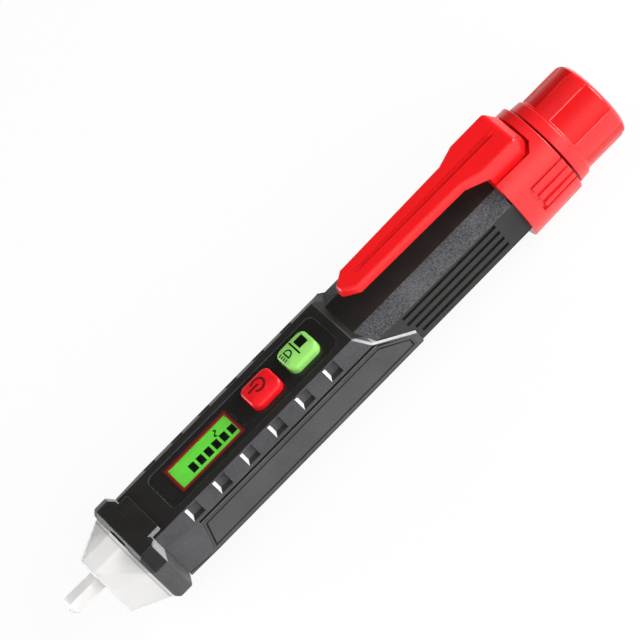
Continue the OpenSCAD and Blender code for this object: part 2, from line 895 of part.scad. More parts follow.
module switch_body(x) {
  translate([x, 0, board_top]) difference() {
    translate([-switch_side / 2, -switch_side / 2, 0]) cube([switch_side, switch_side, switch_h]);
    translate([0, 0, -past]) cylinder(h = switch_h + 2 * past, r = plunger_r + turn_clear);
  }
}

module power_button() {
  placed() color("crimson") push_button(power_x);
}

module power_plunger() {
  placed() color("black") switch_plunger(power_x);
}

module power_switch() {
  placed() color("silver") switch_body(power_x);
}

module light_button() {
  placed() color("lightgreen") push_button(light_x);
}

module light_plunger() {
  placed() color("black") switch_plunger(light_x);
}

module light_switch() {
  placed() color("silver") switch_body(light_x);
}

// Plate that the first cell's nub presses on
module front_contact() {
  half = 3;
  low = 3.6;
  placed() color("silver") translate([cells_x - contact_t, -half, -low])
    cube([contact_t, 2 * half, low + board_z]);
}

// Return strip from the board along the tube's bore, with a tab at the tube's end
module return_strip() {
  placed() color("silver") {
    translate([board_end - strip_lap, -strip_w / 2, bore_r])
      cube([neck_x - board_end + strip_lap, strip_w, strip_t]);
    translate([neck_x, -strip_w / 2, bore_r]) cube([strip_t, strip_w, strip_tab]);
  }
}

// Cell with its nub towards the probe
module cell(x) {
  rod(x + nub_len, x + cell_len, cell_r);
  rod(x, x + nub_len + sink, nub_r);
}

module front_cell() {
  placed() color("steelblue") cell(cells_x);
}

module rear_cell() {
  placed() color("steelblue") cell(joint_x);
}

// Battery tube with a collar inside the sleeve and a threaded neck
module battery_tube() {
  placed() color("#2b2a29") difference() {
    union() {
      rod(tube_x, neck_x, tube_r);
      rod(shell_end, sleeve_end - sleeve_wall, tube_r + tube_collar);
      thread_ridge(thread_x, thread_turns, tube_r - thread_root, tube_r + thread_h);
    }
    rod(tube_x - past, neck_x + past, bore_r);
    translate([tube_x - past, -strip_w / 2 - seat_clear, 0])
      cube([neck_x - tube_x + 2 * past, strip_w + 2 * seat_clear, board_z]);
  }
}

// Sleeve over the shells' rear, with a pocket for the clip and ribs at its sides
module clip_sleeve() {
  placed() color("red") difference() {
    union() {
      sleeve_cone(0, 0);
      sleeve_cone(hump_rise, hump_in);
    }
    intersection() {
      rod(sleeve_x - past, sleeve_end - sleeve_wall, sleeve_bore_r);
      slab(sleeve_x - past, sleeve_end - sleeve_wall, inset(rear_section, -seat_clear));
    }
    rod(sleeve_x, sleeve_end + past, tube_r + turn_clear);
    rod(shell_end, sleeve_end - sleeve_wall, tube_r + tube_collar + seat_clear);
    translate([0, 0, pocket_z]) linear_extrude(sleeve_d) polygon([
      [sleeve_x - past, -pocket_half], [pocket_end - root_corner, -pocket_half],
      [pocket_end, -pocket_half + root_corner], [pocket_end, pocket_half - root_corner],
      [pocket_end - root_corner, pocket_half], [sleeve_x - past, pocket_half]
    ]);
    translate([sleeve_x - past, -front_w, -2 * rest_depth])
      cube([sleeve_len + 2 * past, 2 * front_w, rest_depth]);
    for (side = [-1, 1]) rotate([side * (90 - sleeve_rib_lift), 0, 0]) rib_panel();
  }
}

// Tapered outside of the sleeve, raised above the axis and drawn in
module sleeve_cone(rise, in) {
  translate([sleeve_x, 0, rise]) rotate([0, 90, 0])
    cylinder(h = sleeve_len, r1 = sleeve_r - in, r2 = sleeve_rear_r - in);
}

// Recess at the side of the sleeve, open to its rear end, with ribs that stand in it
module rib_panel() {
  difference() {
    sector(sleeve_rib_x, sleeve_len, sleeve_ribs * sleeve_rib_step / 2, sleeve_rear_r - sleeve_rib_depth);
    for (i = [0:sleeve_ribs - 1])
      rotate([(i - (sleeve_ribs - 1) / 2) * sleeve_rib_step, 0, 0])
        translate([sleeve_rib_x + sleeve_rib_lead, -sleeve_rib_w / 2, 0])
          cube([sleeve_len, sleeve_rib_w, sleeve_d]);
  }
}

// Clip: side view and plan, with a shallow crease along its top
module pocket_clip() {
  high = clip_low + clip_t;
  placed() color("red") difference() {
    intersection() {
      side_cut(-root_w, root_w, [
        [clip_x, clip_low + tip_front], [clip_x + tip_front, clip_low], [flare_x, clip_low],
        [root_x, clip_low - root_drop], [root_x, pocket_z], [root_end, pocket_z],
        [root_end, high - root_low], [root_end - root_slope, high], [clip_x + tip_lean, high]
      ]);
      linear_extrude(4 * front_top) polygon([
        [clip_x, -tip_half], [clip_x + tip_taper, -clip_w / 2], [flare_x, -clip_flare_w / 2],
        [root_x - root_lead, -root_w / 2], [root_end - root_slope, -root_w / 2],
        [root_end, -root_w / 2 + root_corner], [root_end, root_w / 2 - root_corner],
        [root_end - root_slope, root_w / 2], [root_x - root_lead, root_w / 2],
        [flare_x, clip_flare_w / 2], [clip_x + tip_taper, clip_w / 2], [clip_x, tip_half]
      ]);
    }
    slab(crease_x, crease_end, [
      [0, high - crease_depth], [crease_w, high + crease_depth], [-crease_w, high + crease_depth]
    ]);
  }
}

// Ring seal around the tube in the gap in front of the cap
module cap_seal() {
  placed() color("black") translate([sleeve_end + cap_gap / 2, 0, 0]) rotate([0, 90, 0])
    rotate_extrude() translate([tube_r + seal_r + seat_clear, 0]) circle(seal_r);
}

// Contact cup inside the cap: its lip meets the return strip, it carries the spring and it doesn't turn
module contact_cup() {
  from = neck_x + strip_t;
  placed() color("silver") difference() {
    rod(from, plate_x, cup_r);
    rod(from + cup_t, plate_x - cup_t, cup_r - cup_t);
    rod(from - past, from + past, cup_lip_r);
  }
}

// Cell spring, a closed helix that narrows towards the cell
module cell_spring() {
  coils = 4;
  steps = 16;
  sides = 8;
  rings = coils * steps;
  wide = 5.2;
  narrow = 3.4;
  r = spring_wire / 2;
  ease = 0.05;
  run = spring_len - spring_wire - 2 * ease;
  points = [for (i = [0:rings]) for (j = [0:sides - 1])
    let (a = 360 * i / steps, b = 360 * j / sides, ring = narrow + (wide - narrow) * i / rings)
    [cells_end + ease + r + run * i / rings + r * sin(b), (ring + r * cos(b)) * cos(a),
     (ring + r * cos(b)) * sin(a)]];
  skins = [for (i = [0:rings - 1]) for (j = [0:sides - 1])
    [i * sides + (j + 1) % sides, (i + 1) * sides + (j + 1) % sides, (i + 1) * sides + j, i * sides + j]];
  first = [[for (j = [0:sides - 1]) j]];
  end = [[for (j = [sides - 1:-1:0]) rings * sides + j]];
  placed() color("silver") polyhedron(points, concat(first, skins, end));
}

// Tail cap: tapered flange, grip with finger hollows, threaded bore and cup seat
module tail_cap() {
  flange_rear_r = flange_r - 0.25;
  thread_top = tube_r + 0.3;
  placed() color("red") difference() {
    union() {
      translate([cap_x, 0, 0]) rotate([0, 90, 0])
        cylinder(h = flange_len, r1 = flange_r, r2 = flange_rear_r);
      cap_grip();
    }
    difference() {
      rod(cap_x - past, neck_x + strip_t, cap_bore_r);
      thread_ridge(thread_x + thread_pitch / 2, thread_turns, cap_bore_r + thread_root, thread_top);
    }
    rod(neck_x, plate_x, cup_r + turn_clear);
  }
}

// Grip of the cap, round at its rim
module cap_grip() {
  wedge = 360 / hollows - hollow_land;
  difference() {
    translate([grip_x, 0, 0]) rotate([0, 90, 0]) rotate_extrude() {
      translate([0, -sink]) square([grip_r, grip_len - rim_r + sink]);
      square([grip_r - rim_r, grip_len]);
      translate([grip_r - rim_r, grip_len - rim_r]) circle(rim_r);
    }
    for (i = [0:hollows - 1])
      rotate([hollow_turn + i * 360 / hollows, 0, 0])
        sector(grip_x + hollow_lead, grip_len, wedge / 2, grip_r - hollow_depth);
  }
}

// Sector around the pen outside radius r, half its angle either side of straight up
module sector(from, length, half, r) {
  reach = 2 * r;
  translate([from, 0, 0]) rotate([90, 0, 90]) linear_extrude(length) difference() {
    polygon([[0, 0], [reach * sin(half), reach * cos(half)], [-reach * sin(half), reach * cos(half)]]);
    circle(r);
  }
}

nose_lens();
sensor_holder();
sensor_antenna();
front_collar();
upper_shell();
lower_shell();
near_plate();
far_plate();
display_panel();
lcd_frame();
lcd_window();
lcd_glass();
lcd_backlight();
main_board();
main_chip();
buzzer();
torch_led();
alarm_led();
board_screws();
power_button();
power_plunger();
power_switch();
light_button();
light_plunger();
light_switch();
front_contact();
return_strip();
front_cell();
rear_cell();
battery_tube();
clip_sleeve();
pocket_clip();
cap_seal();
contact_cup();
cell_spring();
tail_cap();
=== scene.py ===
import json
import math

import bpy
from mathutils import Matrix, Vector

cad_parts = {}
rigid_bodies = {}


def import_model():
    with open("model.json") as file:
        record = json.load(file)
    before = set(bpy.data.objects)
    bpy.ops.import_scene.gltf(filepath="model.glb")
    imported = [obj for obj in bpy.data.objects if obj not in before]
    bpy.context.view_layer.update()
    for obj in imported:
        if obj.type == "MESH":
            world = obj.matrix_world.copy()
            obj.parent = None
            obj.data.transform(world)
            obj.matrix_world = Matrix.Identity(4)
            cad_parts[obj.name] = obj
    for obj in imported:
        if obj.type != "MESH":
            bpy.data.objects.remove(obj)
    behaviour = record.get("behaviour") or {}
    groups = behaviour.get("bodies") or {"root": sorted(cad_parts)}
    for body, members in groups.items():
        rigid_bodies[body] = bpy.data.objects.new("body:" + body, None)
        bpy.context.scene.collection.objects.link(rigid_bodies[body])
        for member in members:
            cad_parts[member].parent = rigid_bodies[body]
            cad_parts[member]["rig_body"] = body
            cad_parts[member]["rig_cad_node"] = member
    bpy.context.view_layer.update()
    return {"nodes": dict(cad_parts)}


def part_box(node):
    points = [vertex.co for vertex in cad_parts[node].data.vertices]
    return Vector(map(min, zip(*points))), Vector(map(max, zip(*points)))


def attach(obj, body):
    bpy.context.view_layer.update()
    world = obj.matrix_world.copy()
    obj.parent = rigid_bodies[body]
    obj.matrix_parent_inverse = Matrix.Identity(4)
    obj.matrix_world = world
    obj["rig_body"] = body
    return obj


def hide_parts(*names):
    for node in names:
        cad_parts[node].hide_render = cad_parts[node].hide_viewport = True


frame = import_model()

# The table: a wide pale sheet that the tester lies on, on the flat of its sleeve.
# It looks white, also in gloss and through clear plastic, and still takes the tester's shadow.
bpy.context.scene.view_settings.view_transform = "Standard"
table_size = 4.0
table_gap = 0.0002
white_share = 0.9


def link(tree, source, output, target, socket):
    tree.links.new(source.outputs[output], target.inputs[socket])


def new_node(tree, kind, operation=None, **values):
    node = tree.nodes.new(kind)
    if operation:
        node.operation = operation
    for socket, value in values.items():
        node.inputs[socket.replace("_", " ")].default_value = value
    return node


bpy.ops.object.select_all(action="DESELECT")
bpy.ops.mesh.primitive_plane_add(size=table_size, location=(0, 0, -table_gap))
table = bpy.context.active_object
table.name = "table"
table_white = bpy.data.materials.new("table_white")
table_white.use_nodes = True
tree = table_white.node_tree
tree.nodes.clear()
paper = new_node(tree, "ShaderNodeBsdfDiffuse", Color=(0.86, 0.86, 0.86, 1))
shine = new_node(tree, "ShaderNodeEmission", Color=(1, 1, 1, 1), Strength=1.0)
rays = new_node(tree, "ShaderNodeLightPath")
seen = new_node(tree, "ShaderNodeMath", "MAXIMUM")
seen_through = new_node(tree, "ShaderNodeMath", "MAXIMUM")
share = new_node(tree, "ShaderNodeMath", "MULTIPLY")
share.inputs[1].default_value = white_share
blend = new_node(tree, "ShaderNodeMixShader")
sheet_out = new_node(tree, "ShaderNodeOutputMaterial")
link(tree, rays, "Is Camera Ray", seen, 0)
link(tree, rays, "Is Glossy Ray", seen, 1)
link(tree, seen, 0, seen_through, 0)
link(tree, rays, "Is Transmission Ray", seen_through, 1)
link(tree, seen_through, 0, share, 0)
link(tree, share, 0, blend, 0)
link(tree, paper, 0, blend, 1)
link(tree, shine, 0, blend, 2)
link(tree, blend, 0, sheet_out, "Surface")
table.data.materials.append(table_white)

# The studio: a large soft lamp on the near side, a narrow bright one past the tail, a weak one above and a
# low one in front of the nose. The near and top lamps don't show in gloss.
# The room itself gives a low light that fades towards the far side.
room = bpy.data.worlds.new("room")
bpy.context.scene.world = room
room.use_nodes = True
tree = room.node_tree
bearing = new_node(tree, "ShaderNodeTexCoord")
bearing_parts = new_node(tree, "ShaderNodeSeparateXYZ")
fade = new_node(tree, "ShaderNodeMapRange", From_Min=-0.8, From_Max=0.6, To_Min=0.34, To_Max=0.07)
tree.nodes["Background"].inputs["Color"].default_value = (0.96, 0.98, 1.0, 1)
link(tree, bearing, "Generated", bearing_parts, 0)
link(tree, bearing_parts, "Y", fade, "Value")
link(tree, fade, 0, tree.nodes["Background"], "Strength")


def soft_lamp(name, place, width, height, power):
    bpy.ops.object.light_add(type="AREA", location=place)
    lamp = bpy.context.active_object
    lamp.name = name
    lamp.data.shape = "RECTANGLE"
    lamp.data.size = width
    lamp.data.size_y = height
    lamp.data.energy = power
    lamp.rotation_euler = (-Vector(place)).to_track_quat("-Z", "Y").to_euler()
    return lamp


near_lamp = soft_lamp("near_lamp", (0.10, -0.60, 0.30), 0.7, 0.4, 4.2)
near_lamp.visible_glossy = False
soft_lamp("tail_lamp", (0.60, -0.14, 0.22), 0.4, 0.2, 5.0)
top_lamp = soft_lamp("top_lamp", (-0.10, 0.05, 0.75), 0.5, 0.5, 0.9)
top_lamp.visible_glossy = False
soft_lamp("front_lamp", (-0.55, 0.28, 0.12), 0.3, 0.2, 3.0)

# The camera: a long lens over the near side, with the probe a little closer than the tail.
# The pen runs from the lower left of the picture to the upper right.
view_tilt = math.radians(41.4)
view_lean = math.radians(3.0)
view_roll = math.radians(45.4)
view_width = 0.1389
view_centre = Vector((0.0028, 0.0056, 0.01745))
bpy.ops.object.camera_add()
camera = bpy.context.active_object
camera.name = "camera"
camera.data.lens = 250
camera.data.sensor_width = 36
camera.data.clip_start = 0.05
camera.data.clip_end = 20
towards = Vector((-math.sin(view_lean), -math.cos(view_lean) * math.sin(view_tilt),
                  math.cos(view_lean) * math.cos(view_tilt)))
along = (Vector((1, 0, 0)) - towards * towards.x).normalized()
across = towards.cross(along)
right = along * math.cos(view_roll) - across * math.sin(view_roll)
up = along * math.sin(view_roll) + across * math.cos(view_roll)
reach = view_width * camera.data.lens / camera.data.sensor_width
camera.matrix_world = (Matrix.Translation(view_centre + towards * reach)
                       @ Matrix((right, up, towards)).transposed().to_4x4())
bpy.context.scene.camera = camera

# The lower shell: the back half of the barrel, black ABS from a spark-eroded mould, with the cradles
# for the cells inside. Its outer edges are eased by about a fifth of a millimetre.
mm = 0.001
pen_half = 80
pen_axis = 11.2 * mm
shell_edge = 0.22 * mm
weld_gap = 0.002 * mm
flat_turn = math.radians(0.6)
smooth_turn = math.radians(40)
cloud_size = 0.035
cloud_share = 0.35


def station(s):
    """Place along the pen's length of a station measured in millimetres from the probe's tip."""
    return (s - pen_half) * mm


def spark_grain_group():
    """The grain of a spark-eroded mould: fine pits over a wide, faint cloud."""
    group = bpy.data.node_groups.new("spark_grain", "ShaderNodeTree")
    face = group.interface
    face.new_socket("Base", in_out="INPUT", socket_type="NodeSocketColor")
    for name in ("Size", "Fleck", "Dullness", "Spread"):
        face.new_socket(name, in_out="INPUT", socket_type="NodeSocketFloat")
    face.new_socket("Colour", in_out="OUTPUT", socket_type="NodeSocketColor")
    face.new_socket("Roughness", in_out="OUTPUT", socket_type="NodeSocketFloat")
    face.new_socket("Height", in_out="OUTPUT", socket_type="NodeSocketFloat")
    given = new_node(group, "NodeGroupInput")
    made = new_node(group, "NodeGroupOutput")
    place = new_node(group, "ShaderNodeTexCoord")
    pits = new_node(group, "ShaderNodeTexNoise", Detail=3.0, Roughness=0.65)
    wide = new_node(group, "ShaderNodeMath", "MULTIPLY")
    wide.inputs[1].default_value = cloud_size
    cloud = new_node(group, "ShaderNodeTexNoise", Detail=2.0)
    both = new_node(group, "ShaderNodeMath", "MULTIPLY_ADD")
    both.inputs[1].default_value = cloud_share
    tone = new_node(group, "ShaderNodeMapRange", From_Min=0.42, From_Max=0.92, To_Min=-1.0, To_Max=1.0)
    gain = new_node(group, "ShaderNodeMath", "MULTIPLY_ADD")
    gain.inputs[2].default_value = 1.0
    tint = new_node(group, "ShaderNodeVectorMath", "SCALE")
    dull = new_node(group, "ShaderNodeMath", "MULTIPLY_ADD")
    link(group, place, "Object", pits, "Vector")
    link(group, place, "Object", cloud, "Vector")
    link(group, given, "Size", pits, "Scale")
    link(group, given, "Size", wide, 0)
    link(group, wide, 0, cloud, "Scale")
    link(group, cloud, "Fac", both, 0)
    link(group, pits, "Fac", both, 2)
    link(group, both, 0, tone, "Value")
    link(group, tone, 0, gain, 0)
    link(group, given, "Fleck", gain, 1)
    link(group, given, "Base", tint, 0)
    link(group, gain, 0, tint, "Scale")
    link(group, tone, 0, dull, 0)
    link(group, given, "Spread", dull, 1)
    link(group, given, "Dullness", dull, 2)
    link(group, tint, 0, made, "Colour")
    link(group, dull, 0, made, "Roughness")
    link(group, pits, "Fac", made, "Height")
    return group


spark_grain = spark_grain_group()


def new_finish(name):
    """A new material, its nodes and its shader."""
    finish = bpy.data.materials.new(name)
    finish.use_nodes = True
    return finish, finish.node_tree, finish.node_tree.nodes["Principled BSDF"]


def add_grain(tree, body, colour, **values):
    """Places the spark grain in a material and gives its colour and roughness to the shader."""
    grain = new_node(tree, "ShaderNodeGroup")
    grain.node_tree = spark_grain
    grain.inputs["Base"].default_value = (*colour, 1)
    for socket, value in values.items():
        grain.inputs[socket].default_value = value
    link(tree, grain, "Colour", body, "Base Color")
    link(tree, grain, "Roughness", body, "Roughness")
    return grain


def moulded(name, colour, size, fleck, dullness, spread, depth, gloss=0.5):
    """A moulded plastic: its colour, the grain's fineness per metre, how far the grain flecks the colour,
    how dull the plastic is and how much that varies, how deep the grain is, and the gloss."""
    finish, tree, body = new_finish(name)
    body.inputs["Specular IOR Level"].default_value = gloss
    grain = add_grain(tree, body, colour, Size=size, Fleck=fleck, Dullness=dullness, Spread=spread)
    relief = new_node(tree, "ShaderNodeBump", Strength=1.0, Distance=depth)
    link(tree, grain, "Height", relief, "Height")
    link(tree, relief, "Normal", body, "Normal")
    return finish


def take_up(piece):
    """Makes a piece the only one selected."""
    bpy.ops.object.select_all(action="DESELECT")
    piece.select_set(True)
    bpy.context.view_layer.objects.active = piece


def moulding_of(node):
    """A copy of a CAD node with its triangles merged and its flat faces whole again."""
    take_up(frame["nodes"][node])
    bpy.ops.object.duplicate()
    piece = bpy.context.active_object
    piece.name = node + "_moulding"
    bpy.ops.object.parent_clear(type="CLEAR_KEEP_TRANSFORM")
    del piece["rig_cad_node"]
    del piece["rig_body"]
    bpy.ops.object.mode_set(mode="EDIT")
    bpy.ops.mesh.select_all(action="SELECT")
    bpy.ops.mesh.customdata_custom_splitnormals_clear()
    bpy.ops.mesh.remove_doubles(threshold=weld_gap)
    bpy.ops.mesh.dissolve_limited(angle_limit=flat_turn)
    bpy.ops.object.mode_set(mode="OBJECT")
    return piece


def choose(piece, kind, wanted):
    """Goes into edit mode with the faces or edges that the test picks out selected."""
    take_up(piece)
    bpy.context.tool_settings.mesh_select_mode = (False, kind == "EDGE", kind == "FACE")
    bpy.ops.object.mode_set(mode="EDIT")
    bpy.ops.mesh.select_all(action="DESELECT")
    bpy.ops.object.mode_set(mode="OBJECT")
    mesh = piece.data
    if kind == "FACE":
        for face in mesh.polygons:
            face.select = wanted(face)
    else:
        beside = {}
        for face in mesh.polygons:
            for corner in face.loop_indices:
                loop = mesh.loops[corner]
                beside.setdefault(loop.edge_index, []).append((face, loop.vertex_index))
        for edge in mesh.edges:
            sides = beside.get(edge.index, [])
            if len(sides) == 2:
                start, end = (mesh.vertices[v].co for v in edge.vertices)
                if edge.vertices[0] != sides[0][1]:
                    start, end = end, start
                edge.select = wanted((start + end) / 2, end - start, [face for face, first in sides])
    bpy.ops.object.mode_set(mode="EDIT")


def ease(piece, radius, steps, wanted):
    """Rounds the edges that the test picks out."""
    choose(piece, "EDGE", wanted)
    if piece.data.total_edge_sel:
        bpy.ops.mesh.bevel(offset=radius, segments=steps, profile=0.5, affect="EDGES",
                           clamp_overlap=False, loop_slide=False)
    bpy.ops.object.mode_set(mode="OBJECT")


def turned(faces, degrees):
    return faces[0].normal.angle(faces[1].normal, 0) > math.radians(degrees)


def stands_out(run, faces):
    """Whether an edge is a ridge, not a corner that looks inwards."""
    return faces[1].normal.cross(-run).dot(faces[0].normal) < 0


def outward(face):
    """How far a face looks away from the pen's axis, from 1 to -1."""
    away = Vector((0, face.center.y, face.center.z - pen_axis))
    return face.normal.dot(away.normalized())


def outside_edge(middle, run, faces):
    looks = [outward(f) for f in faces]
    return (turned(faces, 15) and stands_out(run, faces) and run.length > 0.6 * mm
            and min(looks) > -0.2 and max(looks) > 0.3)


def settle(piece):
    """Smooth shading over the eased edges, and even light on the flats between them."""
    take_up(piece)
    bpy.ops.object.shade_smooth_by_angle(angle=smooth_turn)
    even = piece.modifiers.new("even", "WEIGHTED_NORMAL")
    even.keep_sharp = True
    bpy.ops.object.modifier_apply(modifier=even.name)


def fit(piece, body, slot, *finishes):
    piece.data.materials.clear()
    for finish in finishes:
        piece.data.materials.append(finish)
    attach(piece, body)


shell_spark = moulded("shell_spark", (0.055, 0.054, 0.057), 4200, 0.6, 0.55, 0.10, 0.03 * mm)
# Satin black: the display face's own finish, also painted into ledges, grooves and lips as painted shade.
satin_and_shade = moulded("satin_and_shade", (0.015, 0.014, 0.0125), 5200, 0.4, 0.45, 0.08, 0.012 * mm, 0.4)
lower_shell = moulding_of("lower_shell")
ease(lower_shell, shell_edge, 3, outside_edge)
settle(lower_shell)
fit(lower_shell, "barrel", "black_shell", shell_spark)
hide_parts("lower_shell")

# The cells and their circuit: two cells in line in film jackets, plated strips, a steel cup and a coiled
# spring. The front cell lies under the board, and the rear one in a tube of black ABS behind it.
def colour_mix(tree, first, second):
    """A node that goes from one colour to another."""
    mix = new_node(tree, "ShaderNodeMix")
    mix.data_type = "RGBA"
    mix.inputs["A"].default_value = (*first, 1)
    mix.inputs["B"].default_value = (*second, 1)
    return mix


def metal(name, colour, brush, dullness):
    """A drawn or stamped metal with fine marks along the pen."""
    finish, tree, body = new_finish(name)
    body.inputs["Metallic"].default_value = 1.0
    place = new_node(tree, "ShaderNodeTexCoord")
    stretch = new_node(tree, "ShaderNodeMapping", Scale=(0.05, 1, 1))
    marks = new_node(tree, "ShaderNodeTexNoise", Scale=brush, Detail=4.0, Roughness=0.7)
    tone = colour_mix(tree, tuple(0.8 * c for c in colour), colour)
    rough = new_node(tree, "ShaderNodeMapRange", To_Min=dullness, To_Max=dullness + 0.2)
    link(tree, place, "Object", stretch, "Vector")
    link(tree, stretch, "Vector", marks, "Vector")
    link(tree, marks, "Fac", tone, "Factor")
    link(tree, marks, "Fac", rough, "Value")
    link(tree, tone, "Result", body, "Base Color")
    link(tree, rough, 0, body, "Roughness")
    return finish


def finish_node(node, finish):
    materials = frame["nodes"][node].data.materials
    materials.clear()
    materials.append(finish)


steel = metal("steel", (0.62, 0.61, 0.58), 9000, 0.22)
for node in ("front_contact", "return_strip", "contact_cup", "cell_spring"):
    finish_node(node, steel)
finish_node("battery_tube", moulded("tube_black", (0.03, 0.03, 0.03), 4200, 0.25, 0.5, 0.1, 0.02 * mm))

rear_cell_ends = (109.2, 153.7)
band_edge = (121.0, 121.4)
jacket, tree, film = new_finish("cell_film")
film.inputs["Coat Roughness"].default_value = 0.1
place = new_node(tree, "ShaderNodeTexCoord")
parts = new_node(tree, "ShaderNodeSeparateXYZ")
turns = new_node(tree, "ShaderNodeMath", "WRAP")
turns.inputs[1].default_value = station(rear_cell_ends[0])
turns.inputs[2].default_value = station(rear_cell_ends[1])
band = new_node(tree, "ShaderNodeMapRange", From_Min=station(band_edge[0]), From_Max=station(band_edge[1]))
wrap = colour_mix(tree, (0.55, 0.30, 0.10), (0.03, 0.035, 0.045))
crinkle = new_node(tree, "ShaderNodeTexNoise", Scale=900.0, Detail=3.0)
rough = new_node(tree, "ShaderNodeMapRange", To_Min=0.2, To_Max=0.4)
link(tree, place, "Object", parts, 0)
link(tree, place, "Object", crinkle, "Vector")
link(tree, parts, "X", turns, 0)
link(tree, turns, 0, band, "Value")
link(tree, band, 0, wrap, "Factor")
link(tree, wrap, "Result", film, "Base Color")
link(tree, crinkle, "Fac", rough, "Value")
link(tree, rough, 0, film, "Roughness")
finish_node("front_cell", jacket)
finish_node("rear_cell", jacket)

# The board and what is soldered to it: glass-fibre board under green lacquer, a black controller and
# sounder, two switches, a clear torch lamp and a red alarm lamp. Two screws hold it under the display.
flow_fleck = 0.02
board_green, tree, lacquer = new_finish("board_lacquer")
lacquer.inputs["Coat Weight"].default_value = 0.4
place = new_node(tree, "ShaderNodeTexCoord")
weave = new_node(tree, "ShaderNodeTexBrick", Scale=1800.0, Color1=(0.01, 0.13, 0.045, 1),
                 Color2=(0.013, 0.16, 0.055, 1), Mortar=(0.006, 0.09, 0.03, 1))
cloud = new_node(tree, "ShaderNodeTexNoise", Scale=300.0)
rough = new_node(tree, "ShaderNodeMapRange", To_Min=0.25, To_Max=0.45)
link(tree, place, "Object", weave, "Vector")
link(tree, place, "Object", cloud, "Vector")
link(tree, weave, "Color", lacquer, "Base Color")
link(tree, cloud, "Fac", rough, "Value")
link(tree, rough, 0, lacquer, "Roughness")
finish_node("main_board", board_green)
chip_black = moulded("chip_black", (0.02, 0.02, 0.021), 7000, 0.3, 0.5, 0.12, 0.01 * mm)
for node in ("main_chip", "buzzer", "power_plunger", "light_plunger"):
    finish_node(node, chip_black)
for node in ("power_switch", "light_switch", "board_screws"):
    finish_node(node, steel)


def clear_plastic(name, colour, dullness, spread, size, index, clearness=1.0):
    """A clear moulding: faint flow marks in its gloss."""
    finish, tree, body = new_finish(name)
    body.inputs["Transmission Weight"].default_value = clearness
    body.inputs["IOR"].default_value = index
    add_grain(tree, body, colour, Size=size, Fleck=flow_fleck, Dullness=dullness, Spread=spread)
    return finish


finish_node("torch_led", clear_plastic("lamp_clear", (0.95, 0.96, 0.97), 0.08, 0.04, 600, 1.5))
finish_node("alarm_led", clear_plastic("lamp_red", (0.9, 0.06, 0.05), 0.12, 0.05, 600, 1.5))

# The display: a glass cell on a light plate, soldered to the board. It is lit green, and shows a row of
# bars and a wave sign in black segments that lie on the cell, under the window.
lcd_middle = 44.8
glass_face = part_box("lcd_glass")[1][2]
segment_height = 0.006 * mm
bars = 6
bar_s = lcd_middle + 7.65
bar_y = -0.55
bar_pitch = 2.33
bar_length = 1.65
bar_width = 2.35
bar_growth = 0.05
bar_lean = 0.12
wave_s = lcd_middle + 4.4
wave_y = 2.05
wave_run = 2.0
wave_rise = 0.4
wave_stroke = 0.5
wave_cuts = 15
lcd_green, tree, cell_face = new_finish("lcd_green")
cell_face.inputs["Emission Strength"].default_value = 0.5
place = new_node(tree, "ShaderNodeTexCoord")
spread = new_node(tree, "ShaderNodeTexNoise", Scale=140.0, Detail=1.0)
glow = colour_mix(tree, (0.085, 0.50, 0.030), (0.130, 0.62, 0.050))
haze = new_node(tree, "ShaderNodeMapRange", To_Min=0.25, To_Max=0.4)
link(tree, place, "Object", spread, "Vector")
link(tree, spread, "Fac", glow, "Factor")
link(tree, spread, "Fac", haze, "Value")
link(tree, glow, "Result", cell_face, "Base Color")
link(tree, glow, "Result", cell_face, "Emission Color")
link(tree, haze, 0, cell_face, "Roughness")
finish_node("lcd_glass", lcd_green)
light_plate_white = moulded("light_plate_white", (0.7, 0.74, 0.68), 900, 0.05, 0.45, 0.05, 0.004 * mm)
finish_node("lcd_backlight", light_plate_white)


def flat_sheet(name, s, y, z, length, width):
    """A flat rectangle lying level, its place in its mesh."""
    bpy.ops.object.select_all(action="DESELECT")
    bpy.ops.mesh.primitive_plane_add(size=1, location=(station(s), y * mm, z))
    sheet = bpy.context.active_object
    sheet.name = name
    sheet.scale = (length * mm, width * mm, 1)
    bpy.ops.object.transform_apply(location=True, rotation=True, scale=True)
    return sheet


def fine_sheet(name, s, y, z, length, width, cuts):
    """A flat rectangle, cut finely enough to bend."""
    sheet = flat_sheet(name, s, y, z, length, width)
    bpy.ops.object.mode_set(mode="EDIT")
    bpy.ops.mesh.subdivide(number_cuts=cuts)
    bpy.ops.object.mode_set(mode="OBJECT")
    return sheet


def thicken(sheet, height):
    """Gives a flat sheet its thickness, upwards from where it lies."""
    take_up(sheet)
    wall = sheet.modifiers.new("wall", "SOLIDIFY")
    wall.thickness = height
    wall.offset = 1
    bpy.ops.object.modifier_apply(modifier=wall.name)


def joined(name, pieces):
    """Makes one piece of several."""
    take_up(pieces[0])
    for piece in pieces[1:]:
        piece.select_set(True)
    bpy.ops.object.join()
    piece = bpy.context.active_object
    piece.name = name
    return piece


def wave(name, s, y, z, run, rise, stroke):
    """A short wave sign, one swing along the width of the pen."""
    sheet = fine_sheet(name, s, y, z, stroke, run, wave_cuts)
    for point in sheet.data.vertices:
        swing = (point.co.y / mm - y) / run
        point.co.x += rise * mm * math.sin(2 * math.pi * swing)
    return sheet


segment_level = glass_face + segment_height / 2
segments = []
for i in range(bars):
    s = bar_s - i * bar_pitch
    bar = flat_sheet("bar", s, bar_y, segment_level, bar_length, bar_width)
    for point in bar.data.vertices:
        if point.co.y > bar_y * mm:
            lean = bar_lean if point.co.x < station(s) else 0
            point.co.y += (bar_growth * i + lean) * mm
    segments.append(bar)
segments.append(wave("wave", wave_s, wave_y, segment_level, wave_run, wave_rise, wave_stroke))
lcd_segments = joined("lcd_segments", segments)
thicken(lcd_segments, segment_height)
segment_black = moulded("segment_black", (0.002, 0.002, 0.002), 2000, 0.2, 0.5, 0.05, 0.001 * mm, 0.2)
fit(lcd_segments, "barrel", "part_black", segment_black)
